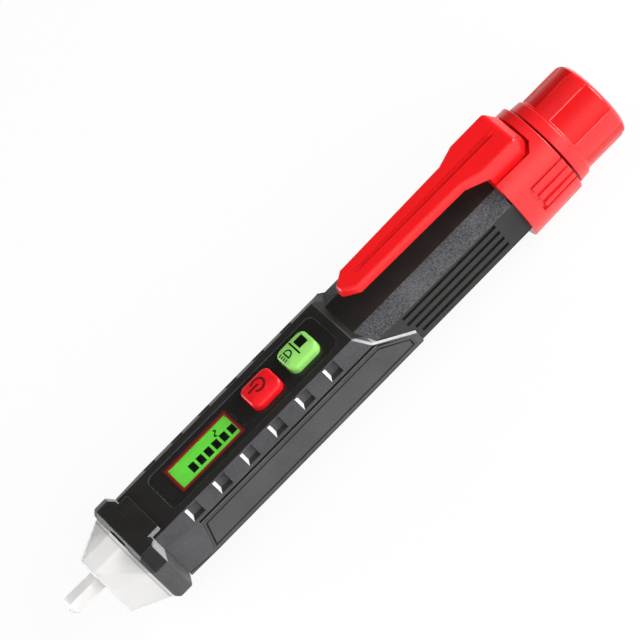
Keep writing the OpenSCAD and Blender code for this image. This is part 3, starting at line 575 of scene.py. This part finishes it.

# The upper shell: the display face, the notched chamfers and both sides, in the lower shell's black ABS.
# The face is smooth, the sides are spark-grained and the rear chamfers are blasted coarser. On the near side
# the small faces that look towards the tail are painted near white and light grey as painted highlights, and
# the ledges above the side plates, the floors of the grip grooves and the lip along the joint are painted
# satin black as painted shade.
def paint(piece, finish, wanted):
    """Gives one of a piece's finishes to the faces that the test picks out."""
    index = piece.data.materials.find(finish.name)
    for face in piece.data.polygons:
        if wanted(face):
            face.material_index = index


rear_grain = moulded("rear_grain", (0.019, 0.0185, 0.018), 4200, 0.5, 0.5, 0.10, 0.025 * mm, 0.4)
blasted_grey = moulded("blasted_grey", (0.078, 0.079, 0.083), 2400, 0.8, 0.66, 0.12, 0.07 * mm, 0.2)
# Near white and light grey stand in for glints on small faces that look towards the tail: painted highlights.
painted_highlight_white = moulded("painted_highlight_white", (0.62, 0.62, 0.63), 5200, 0.08, 0.3, 0.05, 0.01 * mm)
painted_highlight_grey = moulded("painted_highlight_grey", (0.30, 0.30, 0.31), 5200, 0.15, 0.35, 0.05, 0.01 * mm, 0.3)
chamfer_edge = 0.16 * mm
notch_edge = 0.07 * mm
slant_facet = 0.42 * mm
step_edge = 0.3 * mm
seat_edge = 0.14 * mm
joint_edge = 0.3 * mm
face_half = 7.75 * mm
face_top = pen_axis + 9.6 * mm
rear_top = pen_axis + 8.3 * mm
chamfer_foot = pen_axis + 7.1 * mm
rear_foot = pen_axis + 6.3 * mm
joint = pen_axis - 4.1 * mm
joint_side = 10 * mm
step_s = station(84.2)
ramp_s = station(86)
slant_end = station(95.3)
notch_ends = (station(30), station(82))
panel_middle = station(56.6)
panel_half = (25.6 * mm, 5.9 * mm)
rear_half = 10.35 * mm
ramp_half = 10.3 * mm
plate_seat = (station(33), station(86))
plate_seat_half = 10.75 * mm
grip_ends = (station(94), station(124))
grip_floor = (9.7 * mm, 10.25 * mm)
upper_shell = moulding_of("upper_shell")


def runs_at(middle, run, height):
    """Whether an edge runs along the pen at a height."""
    return abs(run.normalized().x) > 0.99 and abs(middle.z - height) < 0.02 * mm


def ramp(face):
    """The slanted end of the barrel's front."""
    return (face.normal.x > 0.5 and abs(face.normal.y) < 0.1 and face.normal.z > 0.4
            and abs(face.center.x - ramp_s) < 2 * mm)


def slanted_step(middle, run, faces):
    """The upper edge of the slanted end, on the chamfers and the sides."""
    lean = run.normalized()
    return (stands_out(run, faces) and turned(faces, 50) and abs(middle.y) > face_half + 0.15 * mm
            and 0.3 < abs(lean.z) < 0.95 and middle.x > step_s + 0.1 * mm)


def face_end(middle, run, faces):
    """The rear edge of the display face."""
    return (turned(faces, 30) and abs(run.normalized().y) > 0.95 and abs(middle.x - step_s) < 0.1 * mm
            and abs(middle.z - face_top) < 0.1 * mm)


def main_ridge(middle, run, faces):
    return (turned(faces, 15) and stands_out(run, faces) and abs(middle.y) > panel_half[1]
            and any(runs_at(middle, run, height) for height in (face_top, rear_top, chamfer_foot, rear_foot)))


def joint_rim(middle, run, faces):
    return (turned(faces, 60) and stands_out(run, faces) and abs(middle.y) > joint_side
            and runs_at(middle, run, joint))


def panel_seat(middle, run, faces):
    """The rim of the recess that the display panel lies in."""
    return (turned(faces, 70) and stands_out(run, faces) and abs(middle.z - face_top) < 0.02 * mm
            and abs(middle.y) < panel_half[1] and abs(middle.x - panel_middle) < panel_half[0])


def notch_rim(middle, run, faces):
    return (turned(faces, 15) and stands_out(run, faces) and notch_ends[0] < middle.x < notch_ends[1]
            and chamfer_foot + 0.2 * mm < middle.z < face_top - 0.1 * mm
            and abs(middle.y) > face_half + 0.05 * mm)


def tail_facet(face):
    """A small face beside the display face that looks towards the tail."""
    return face.normal.x > 0.3 and outward(face) > -0.2 and abs(face.center.y) > face_half


def notch_facet(face):
    return tail_facet(face) and face.center.z > chamfer_foot and notch_ends[0] < face.center.x < notch_ends[1]


def step_facet(face):
    return (tail_facet(face) and step_s < face.center.x < slant_end + 0.1 * mm
            and face.center.z > pen_axis - 0.4 * mm)


def rear_face(face):
    """The barrel behind the slanted end."""
    behind_step = face.center.x > step_s + 0.1 * mm and abs(face.center.y) < rear_half
    return face.center.x > slant_end or behind_step


def rear_chamfer(face):
    return face.center.x > step_s + 0.1 * mm and 0.4 < face.normal.z < 0.96 and outward(face) > 0.6


def level_face(face):
    return face.normal.z > 0.96 and face.center.z > chamfer_foot + 0.1 * mm


def seat_ledge(face):
    """The upper ledge of the seats that the side plates lie in."""
    return (plate_seat[0] < face.center.x < plate_seat[1] and abs(face.center.y) < plate_seat_half
            and chamfer_foot - 1.0 * mm < face.center.z < chamfer_foot - 0.18 * mm)


def groove_floor(face):
    """The floors of the grip grooves behind the slanted end."""
    return (grip_ends[0] < face.center.x < grip_ends[1] and abs(face.normal.x) < 0.5
            and grip_floor[0] < abs(face.center.y) < grip_floor[1] and face.center.z < rear_foot - 0.5 * mm)


def joint_lip(face):
    """The rounded lip along the joint with the lower shell."""
    return (face.normal.z < -0.15 and abs(face.center.z - joint) < 0.35 * mm
            and abs(face.center.y) > joint_side)


def rounded_end(face):
    """The rounded rear edge of the display face."""
    return (0.08 < face.normal.x < 0.6 and abs(face.normal.y) < 0.1 and face.normal.z > 0.7
            and abs(face.center.x - step_s) < 0.5 * mm)


for side in (-1, 1):
    choose(upper_shell, "FACE", ramp)
    bpy.ops.mesh.bisect(plane_co=(0, side * face_half, 0), plane_no=(0, 1, 0))
    bpy.ops.object.mode_set(mode="OBJECT")
ease(upper_shell, slant_facet, 1, slanted_step)
ease(upper_shell, step_edge, 3, face_end)
ease(upper_shell, chamfer_edge, 3, main_ridge)
ease(upper_shell, joint_edge, 2, joint_rim)
ease(upper_shell, seat_edge, 2, panel_seat)
ease(upper_shell, notch_edge, 2, notch_rim)
settle(upper_shell)
fit(upper_shell, "barrel", "black_shell", shell_spark, satin_and_shade, rear_grain, blasted_grey, painted_highlight_white,
    painted_highlight_grey)
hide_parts("upper_shell")
paint(upper_shell, rear_grain, rear_face)
paint(upper_shell, blasted_grey, rear_chamfer)
paint(upper_shell, satin_and_shade, level_face)
# Painted shade: the ledges above the plates, the grip groove floors and the joint lip are painted satin
# black.
paint(upper_shell, satin_and_shade, seat_ledge)
paint(upper_shell, satin_and_shade, groove_floor)
paint(upper_shell, satin_and_shade, joint_lip)
# Painted highlights: the notch faces and the slanted step are painted near white and light grey on the near
# side only; on the far side they keep the plain grain.
paint(upper_shell, painted_highlight_white, notch_facet)
paint(upper_shell, painted_highlight_grey, step_facet)
paint(upper_shell, shell_spark, lambda face: face.center.y > 0 and (notch_facet(face) or step_facet(face)))
paint(upper_shell, shell_spark, lambda face: ramp(face) and abs(face.center.y) < ramp_half)
paint(upper_shell, satin_and_shade, lambda face: ramp(face) and abs(face.center.y) < face_half)
# Painted highlight: the rounded rear edge of the satin face is painted the lighter grain grey.
paint(upper_shell, shell_spark, rounded_end)

# The side plates: thin moulded plates let into both sides of the barrel and left bare, with a fine
# groove inside their edge, whose walls are painted satin black as painted shade.
plate_grey = moulded("plate_grey", (0.046, 0.046, 0.048), 4200, 0.5, 0.5, 0.10, 0.03 * mm)
plate_edge = 0.12 * mm
groove_inset = 0.45 * mm
groove_half = 0.25 * mm
for plate, looks in (("near_plate", -1), ("far_plate", 1)):
    side_plate = moulding_of(plate)
    choose(side_plate, "FACE", lambda face: face.normal.y * looks > 0.9)
    bpy.ops.mesh.inset(thickness=groove_inset)
    bpy.ops.mesh.inset(thickness=groove_half, depth=-groove_half)
    bpy.ops.mesh.inset(thickness=groove_half, depth=groove_half)
    bpy.ops.object.mode_set(mode="OBJECT")
    fit(side_plate, "barrel", "grey_plate", plate_grey, satin_and_shade)
    # Painted shade: the groove's walls are painted satin black.
    paint(side_plate, satin_and_shade, lambda face: 0.3 < abs(face.normal.y) < 0.9)
    ease(side_plate, plate_edge, 3, lambda middle, run, faces: turned(faces, 70)
         and max(face.normal.y * looks for face in faces) > 0.9)
    settle(side_plate)
    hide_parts(plate)

# The display panel: a sheet of black gloss plastic that is glued into the display face, with openings
# for the window and the buttons. Its edge is eased.
panel_black = moulded("panel_black", (0.0125, 0.012, 0.011), 1600, 0.25, 0.24, 0.05, 0.003 * mm)
panel_edge = 0.16 * mm
display_panel = moulding_of("display_panel")
ease(display_panel, panel_edge, 3, lambda middle, run, faces: turned(faces, 60)
     and max(face.normal.z for face in faces) > 0.9)
settle(display_panel)
fit(display_panel, "barrel", "dark_panel", panel_black)
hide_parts("display_panel")

# The window and its frame: a clear acrylic plate over the display, in a dark red frame that is printed
# darker outwards and lies level with the panel.
window_half = (8.55 * mm, 3.35 * mm, 0)
frame_width = 1.1 * mm
frame_red, tree, frame_print = new_finish("frame_red")
frame_print.inputs["Specular IOR Level"].default_value = 0.3
place = new_node(tree, "ShaderNodeTexCoord")
away = new_node(tree, "ShaderNodeVectorMath", "SUBTRACT")
away.inputs[1].default_value = (station(lcd_middle), 0, 0)
reach_out = new_node(tree, "ShaderNodeVectorMath", "ABSOLUTE")
past_window = new_node(tree, "ShaderNodeVectorMath", "SUBTRACT")
past_window.inputs[1].default_value = window_half
parts = new_node(tree, "ShaderNodeSeparateXYZ")
furthest = new_node(tree, "ShaderNodeMath", "MAXIMUM")
fade = new_node(tree, "ShaderNodeMapRange", From_Min=0.0, From_Max=frame_width)
fade.interpolation_type = "SMOOTHSTEP"
glow = colour_mix(tree, (0.24, 0.012, 0.012), (0.016, 0.010, 0.010))
mottle = new_node(tree, "ShaderNodeTexNoise", Scale=2600.0, Detail=2.0)
rough = new_node(tree, "ShaderNodeMapRange", To_Min=0.3, To_Max=0.5)
link(tree, place, "Object", away, 0)
link(tree, away, 0, reach_out, 0)
link(tree, reach_out, 0, past_window, 0)
link(tree, past_window, 0, parts, 0)
link(tree, parts, "X", furthest, 0)
link(tree, parts, "Y", furthest, 1)
link(tree, furthest, 0, fade, "Value")
link(tree, fade, 0, glow, "Factor")
link(tree, glow, "Result", frame_print, "Base Color")
link(tree, place, "Object", mottle, "Vector")
link(tree, mottle, "Fac", rough, "Value")
link(tree, rough, 0, frame_print, "Roughness")
finish_node("lcd_frame", frame_red)
finish_node("lcd_window", clear_plastic("window_clear", (0.97, 0.98, 0.97), 0.06, 0.02, 500, 1.15))

# The buttons: two push keys moulded in coloured ABS with a soft crown, each with a foot under the display
# face and a generic sign printed on it: a power sign on the red one, a lamp on the green one.
key_length = 8.4
key_width = 7.3
key_corner = 1.9 * mm
corner_steps = 8
foot_rim = 0.5
foot_height = 0.5 * mm
crown_run = 0.75
crown_rise = 0.7
crown_steps = 5
crown_rings = 5
arch_drop = 0.8
print_height = 0.02 * mm
print_gap = 0.004 * mm
print_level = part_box("power_button")[1][2] + 0.5 * mm
print_y = 0.5
arc_seed = 0.01
arc_steps = 20
power_s = 63.05
power_stroke = 0.6
power_bar = 2.9
bar_shift = 1.3
ring_radius = 1.65
ring_sweep = 284
light_s = 74.25
divide_s = light_s - 0.05
divide_size = (0.4, 4.6)
box_s = light_s + 1.95
box_size = (2.5, 2.7)
lamp_s = light_s - 2.1
lamp_stroke = 0.36
lens_radius = 1.02
lens_sweep = 180
lens_flat_s = lamp_s - 0.35
lens_flat_run = 2.4
lens_side_s = lamp_s - 0.1
lens_side_run = 0.5
ray_count = 4
ray_s = lamp_s - 1.25
ray_size = (0.9, 0.3)
ray_pitch = 0.72


def key_cap(name, node, s):
    """A key: a rounded block with an arched, eased crown, and a wider foot."""
    low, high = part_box(node)
    shoulder = high[2] - crown_rise * mm
    base = low[2] + foot_height
    bpy.ops.object.select_all(action="DESELECT")
    bpy.ops.mesh.primitive_cube_add(size=1, location=(station(s), 0, (base + shoulder) / 2))
    key = bpy.context.active_object
    key.name = name
    key.scale = (key_length * mm, key_width * mm, shoulder - base)
    bpy.ops.object.transform_apply(location=True, rotation=True, scale=True)
    choose(key, "EDGE", lambda middle, run, faces: abs(run.normalized().z) > 0.9)
    bpy.ops.mesh.bevel(offset=key_corner, segments=corner_steps, affect="EDGES")
    bpy.ops.object.mode_set(mode="OBJECT")
    choose(key, "FACE", lambda face: face.normal.z < -0.9)
    bpy.ops.mesh.extrude_region_move()
    bpy.ops.transform.resize(value=(1 + 2 * foot_rim / key_length, 1 + 2 * foot_rim / key_width, 1))
    bpy.ops.mesh.extrude_region_move(TRANSFORM_OT_translate={"value": (0, 0, -foot_height)})
    bpy.ops.object.mode_set(mode="OBJECT")
    choose(key, "FACE", lambda face: face.normal.z > 0.9 and face.center.z > shoulder - 0.01 * mm)
    for step in range(1, crown_steps + 1):
        angle = math.radians(90) * step / crown_steps
        last = math.radians(90) * (step - 1) / crown_steps
        bpy.ops.mesh.inset(thickness=crown_run * (math.cos(last) - math.cos(angle)) * mm)
        bpy.ops.transform.translate(value=(0, 0, crown_rise * (math.sin(angle) - math.sin(last)) * mm))
    for ring in range(crown_rings, 1, -1):
        bpy.ops.mesh.extrude_region_move()
        bpy.ops.transform.resize(value=((ring - 1) / ring, (ring - 1) / ring, 1))
    bpy.ops.object.mode_set(mode="OBJECT")
    for point in key.data.vertices:
        if point.co.z > shoulder - 0.01 * mm:
            point.co.z -= arch_drop * mm * (2 * point.co.y / (key_width * mm)) ** 2
    settle(key)
    return key


def lay_print(sign, key):
    """Lays a flat print on a key's crown."""
    take_up(sign)
    lay = sign.modifiers.new("lay", "SHRINKWRAP")
    lay.target = key
    lay.wrap_method = "PROJECT"
    lay.use_project_z = True
    lay.use_positive_direction = False
    lay.use_negative_direction = True
    lay.offset = print_gap
    bpy.ops.object.modifier_apply(modifier=lay.name)
    thicken(sign, print_height)


def strip(name, s, y, length, width, cuts=7):
    """A printed stroke, cut finely enough to follow a crown."""
    return fine_sheet(name, s, y, print_level, length, width, cuts)


def arc(name, s, y, radius, stroke, sweep):
    """A printed arc, spun both ways from a short stroke on its tail side, half its sweep each way."""
    pieces = []
    centre = (station(s), y * mm, print_level)
    for half in (-sweep / 2, sweep / 2):
        piece = flat_sheet(name, s + radius, y, print_level, stroke, arc_seed)
        choose(piece, "EDGE", lambda middle, run, faces: False)
        bpy.ops.mesh.select_all(action="SELECT")
        bpy.ops.mesh.delete(type="ONLY_FACE")
        bpy.ops.mesh.select_all(action="SELECT")
        bpy.ops.mesh.remove_doubles(threshold=2 * arc_seed * mm)
        bpy.ops.mesh.select_all(action="SELECT")
        bpy.ops.mesh.spin(steps=arc_steps, angle=math.radians(half), center=centre, axis=(0, 0, 1))
        bpy.ops.object.mode_set(mode="OBJECT")
        pieces.append(piece)
    piece = joined(name, pieces)
    bpy.ops.object.mode_set(mode="EDIT")
    bpy.ops.mesh.select_all(action="SELECT")
    bpy.ops.mesh.remove_doubles(threshold=arc_seed * mm)
    bpy.ops.mesh.normals_make_consistent(inside=False)
    bpy.ops.object.mode_set(mode="OBJECT")
    return piece


key_red = moulded("key_red", (0.72, 0.007, 0.012), 3200, 0.10, 0.36, 0.06, 0.012 * mm, 0.35)
key_green = moulded("key_green", (0.26, 0.62, 0.13), 3200, 0.10, 0.40, 0.06, 0.012 * mm, 0.35)
print_red = moulded("print_red", (0.13, 0.006, 0.008), 3200, 0.15, 0.5, 0.06, 0.002 * mm, 0.2)
print_black = moulded("print_black", (0.004, 0.006, 0.004), 3200, 0.15, 0.5, 0.06, 0.002 * mm, 0.1)
power_key = key_cap("power_key", "power_button", power_s)
fit(power_key, "power_key", "button_red", key_red)
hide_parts("power_button")
power_sign = joined("power_sign", [
    arc("ring", power_s, print_y, ring_radius, power_stroke, ring_sweep),
    strip("bar", power_s - bar_shift, print_y, power_bar, power_stroke),
])
lay_print(power_sign, power_key)
fit(power_sign, "power_key", "part_black", print_red)

light_key = key_cap("light_key", "light_button", light_s)
fit(light_key, "light_key", "button_green", key_green)
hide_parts("light_button")
strokes = [
    strip("divide", divide_s, print_y, *divide_size, cuts=15),
    strip("lens_flat", lens_flat_s, print_y, lamp_stroke, lens_flat_run),
    arc("lens_round", lamp_s, print_y, lens_radius, lamp_stroke, lens_sweep),
    strip("box", box_s, print_y, *box_size, cuts=11),
]
for side in (-1, 1):
    lens_y = print_y + side * lens_radius
    strokes.append(strip("lens_side", lens_side_s, lens_y, lens_side_run, lamp_stroke, cuts=3))
for i in range(ray_count):
    ray_y = print_y + (i - (ray_count - 1) / 2) * ray_pitch
    strokes.append(strip("ray", ray_s, ray_y, *ray_size, cuts=3))
light_sign = joined("light_sign", strokes)
lay_print(light_sign, light_key)
fit(light_sign, "light_key", "part_black", print_black)

# The nose: a clear polycarbonate lens with the hollow probe blade, its spigot pushed into the barrel.
# Inside, a cream holder keeps the brass sensor strip in line with the blade.
finish_node("sensor_holder", moulded("holder_cream", (0.74, 0.66, 0.50), 2400, 0.06, 0.45, 0.06, 0.01 * mm))
finish_node("sensor_antenna", metal("brass", (0.78, 0.56, 0.24), 9000, 0.2))
nose_edge = 0.28 * mm
nose_back = station(18.1)
nose_rim = (station(17.35), station(17.65))
nose_lens = moulding_of("nose_lens")
nose_clear = clear_plastic("nose_clear", (0.96, 0.945, 0.935), 0.24, 0.02, 400, 1.3, 0.3)
nose_shade_line = clear_plastic("nose_shade_line", (0.55, 0.55, 0.55), 0.24, 0.02, 400, 1.3, 0.25)
ease(nose_lens, nose_edge, 3, lambda middle, run, faces: turned(faces, 20) and run.length > 0.5 * mm
     and middle.x < nose_back and min(outward(face) for face in faces) > -0.3)
for end in nose_rim:
    choose(nose_lens, "FACE", lambda face: outward(face) > 0.2)
    bpy.ops.mesh.bisect(plane_co=(end, 0, 0), plane_no=(1, 0, 0))
    bpy.ops.object.mode_set(mode="OBJECT")
settle(nose_lens)
fit(nose_lens, "barrel", "clear_nose", nose_clear, nose_shade_line)
# Painted shade: the band just in front of the lens's rim is painted grey as a shade line.
paint(nose_lens, nose_shade_line, lambda face: nose_rim[0] < face.center.x < nose_rim[1] and outward(face) > 0.2)
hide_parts("nose_lens")

# The collar: a ring of black ABS that is pressed over the front of both shells and holds them together,
# with a tongue over the display face whose sides slope. Its slopes that look towards the tail, and the near
# side of the tongue, are painted light grey as painted highlights.
collar_painted_highlight = moulded("collar_painted_highlight", (0.22, 0.22, 0.225), 3200, 0.25, 0.4, 0.05, 0.02 * mm, 0.3)
collar_edge = 0.3 * mm
facet_side = 7 * mm
tongue_root = station(23)
tongue_half = 6.9 * mm
tongue_foot = pen_axis + 9.65 * mm
tongue_slope = 1.8
tongue_facet = (5.9 * mm, 8.6 * mm)
front_collar = moulding_of("front_collar")
for point in front_collar.data.vertices:
    at_side = abs(abs(point.co.y) - tongue_half) < 0.01 * mm
    if at_side and point.co.x > tongue_root and point.co.z > tongue_foot:
        point.co.y -= math.copysign(tongue_slope * (point.co.z - tongue_foot), point.co.y)
ease(front_collar, collar_edge, 3, outside_edge)
settle(front_collar)
fit(front_collar, "barrel", "black_shell", shell_spark, satin_and_shade, rear_grain, collar_painted_highlight)
paint(front_collar, rear_grain, lambda face: 0.3 < face.normal.z < 0.95 and abs(face.center.y) > face_half)
paint(front_collar, satin_and_shade, lambda face: face.normal.z > 0.3 and abs(face.center.y) < face_half)
# Painted highlights: the slopes that look towards the tail and the tongue's near side are painted light grey.
paint(front_collar, collar_painted_highlight, lambda face: face.normal.x > 0.35 and face.normal.z > 0.25
      and outward(face) > 0.2 and abs(face.center.y) > facet_side)
paint(front_collar, collar_painted_highlight, lambda face: tongue_facet[0] < -face.center.y < tongue_facet[1]
      and face.normal.y < -0.3 and face.normal.z > 0.1 and face.normal.x > -0.2
      and face.center.x > tongue_root + 0.2 * mm)
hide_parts("front_collar")

# The sleeve: a ring of red ABS pushed over the rear of the shells, with a pocket for the clip's root and a
# ribbed panel at each side.
red_abs = moulded("red_abs", (0.64, 0.006, 0.008), 2600, 0.07, 0.32, 0.05, 0.008 * mm, 0.8)
clip_red = moulded("clip_red", (0.80, 0.007, 0.009), 2600, 0.07, 0.32, 0.05, 0.008 * mm, 0.6)
crease_shade_red = moulded("crease_shade_red", (0.56, 0.003, 0.004), 2600, 0.07, 0.5, 0.05, 0.008 * mm, 0.2)
sleeve_edge = 0.22 * mm
rib_edge = 0.4 * mm
rib_side = 9 * mm
rib_front = (station(135.4), station(136.2))
rib_reach = 1.7 * mm
clip_sleeve = moulding_of("clip_sleeve")
for point in clip_sleeve.data.vertices:
    if min(abs(point.co.x - end) for end in rib_front) < 0.03 * mm and abs(point.co.y) > rib_side:
        point.co.x -= rib_reach


def at_rib_front(middle, reach):
    return abs(middle.x - rib_front[0] + rib_reach) < reach and abs(middle.y) > rib_side


ease(clip_sleeve, rib_edge, 3, lambda middle, run, faces: at_rib_front(middle, 0.03 * mm)
     and outside_edge(middle, run, faces))
ease(clip_sleeve, sleeve_edge, 3, lambda middle, run, faces: outside_edge(middle, run, faces)
     and not at_rib_front(middle, 0.5 * mm))
settle(clip_sleeve)
fit(clip_sleeve, "barrel", "red_shell", red_abs)
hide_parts("clip_sleeve")

# The clip: one springy moulding in the sleeve's red ABS, with a soft crease along its top and a pointed tip.
# The crease is painted a darker red as painted shade. Its root snaps into the sleeve's pocket.
clip_edge = 0.7 * mm
clip_under_edge = 0.25 * mm
clip_middle = station(115)
root_front = station(129)
crease_edge = 0.3 * mm
crease_half = 0.7 * mm
crease_ends = (station(94.0), station(138.2))
crease_runout = 3.0 * mm
crease_lift = 0.12 * mm


def in_crease(middle):
    return abs(middle.y) < crease_half and crease_ends[0] < middle.x < crease_ends[1]


pocket_clip = moulding_of("pocket_clip")
for point in pocket_clip.data.vertices:
    if in_crease(point.co) and abs(point.co.y) < 0.05 * mm:
        point.co.x += crease_runout if point.co.x < clip_middle else -crease_runout
        point.co.z += crease_lift
ease(pocket_clip, clip_edge, 4, lambda middle, run, faces: turned(faces, 30) and stands_out(run, faces)
     and max(face.normal.z for face in faces) > 0.55 and not in_crease(middle))
ease(pocket_clip, clip_under_edge, 2, lambda middle, run, faces: turned(faces, 60) and stands_out(run, faces)
     and min(face.normal.z for face in faces) < -0.7 and middle.x < root_front)
ease(pocket_clip, crease_edge, 3, lambda middle, run, faces: turned(faces, 20) and in_crease(middle)
     and abs(run.normalized().x) > 0.995)
settle(pocket_clip)
fit(pocket_clip, "clip", "red_shell", clip_red, crease_shade_red)
# Painted shade: the crease's faces are painted a darker red.
paint(pocket_clip, crease_shade_red, lambda face: in_crease(face.center) and 0.5 < face.normal.z < 0.99)
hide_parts("pocket_clip")

# The tail cap: red ABS, screwed over the neck of the battery tube. Its finger hollows are painted a darker,
# duller red than the lands as painted shade, their side walls a lighter red as painted highlights, and the
# rim is polished. A rubber ring seals the gap in front of it.
finish_node("cap_seal", moulded("seal_rubber", (0.05, 0.006, 0.006), 3000, 0.2, 0.7, 0.08, 0.01 * mm))
cap_edge = 0.22 * mm
grip_front = station(147.6)
rim_front = station(157)
hollow_radius = 9.95 * mm
land_radius = 10.3 * mm
hollow_shade_red = moulded("hollow_shade_red", (0.56, 0.003, 0.004), 2600, 0.07, 0.36, 0.05, 0.008 * mm, 0.35)
edge_highlight_red = moulded("edge_highlight_red", (0.86, 0.10, 0.085), 2600, 0.07, 0.3, 0.05, 0.008 * mm, 0.8)
rim_red = moulded("rim_red", (0.64, 0.006, 0.008), 2600, 0.05, 0.14, 0.03, 0.002 * mm, 0.8)
tail_cap = moulding_of("tail_cap")


def from_axis(face):
    return math.hypot(face.center.y, face.center.z - pen_axis)


ease(tail_cap, cap_edge, 3, outside_edge)
settle(tail_cap)
fit(tail_cap, "cap", "red_shell", red_abs, hollow_shade_red, edge_highlight_red, rim_red)
# Painted shade: the hollows' floors are painted a darker red than the lands.
paint(tail_cap, hollow_shade_red, lambda face: face.center.x > grip_front and outward(face) > 0.9
      and from_axis(face) < hollow_radius)
# Painted highlights: the hollows' side walls are painted a lighter red.
paint(tail_cap, edge_highlight_red, lambda face: face.center.x > grip_front and abs(face.normal.x) < 0.2
      and -0.2 < outward(face) < 0.93 and hollow_radius - 0.2 * mm < from_axis(face) < land_radius)
paint(tail_cap, rim_red, lambda face: face.center.x > rim_front and 0.1 < face.normal.x < 0.95
      and outward(face) > 0.2)
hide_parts("tail_cap")
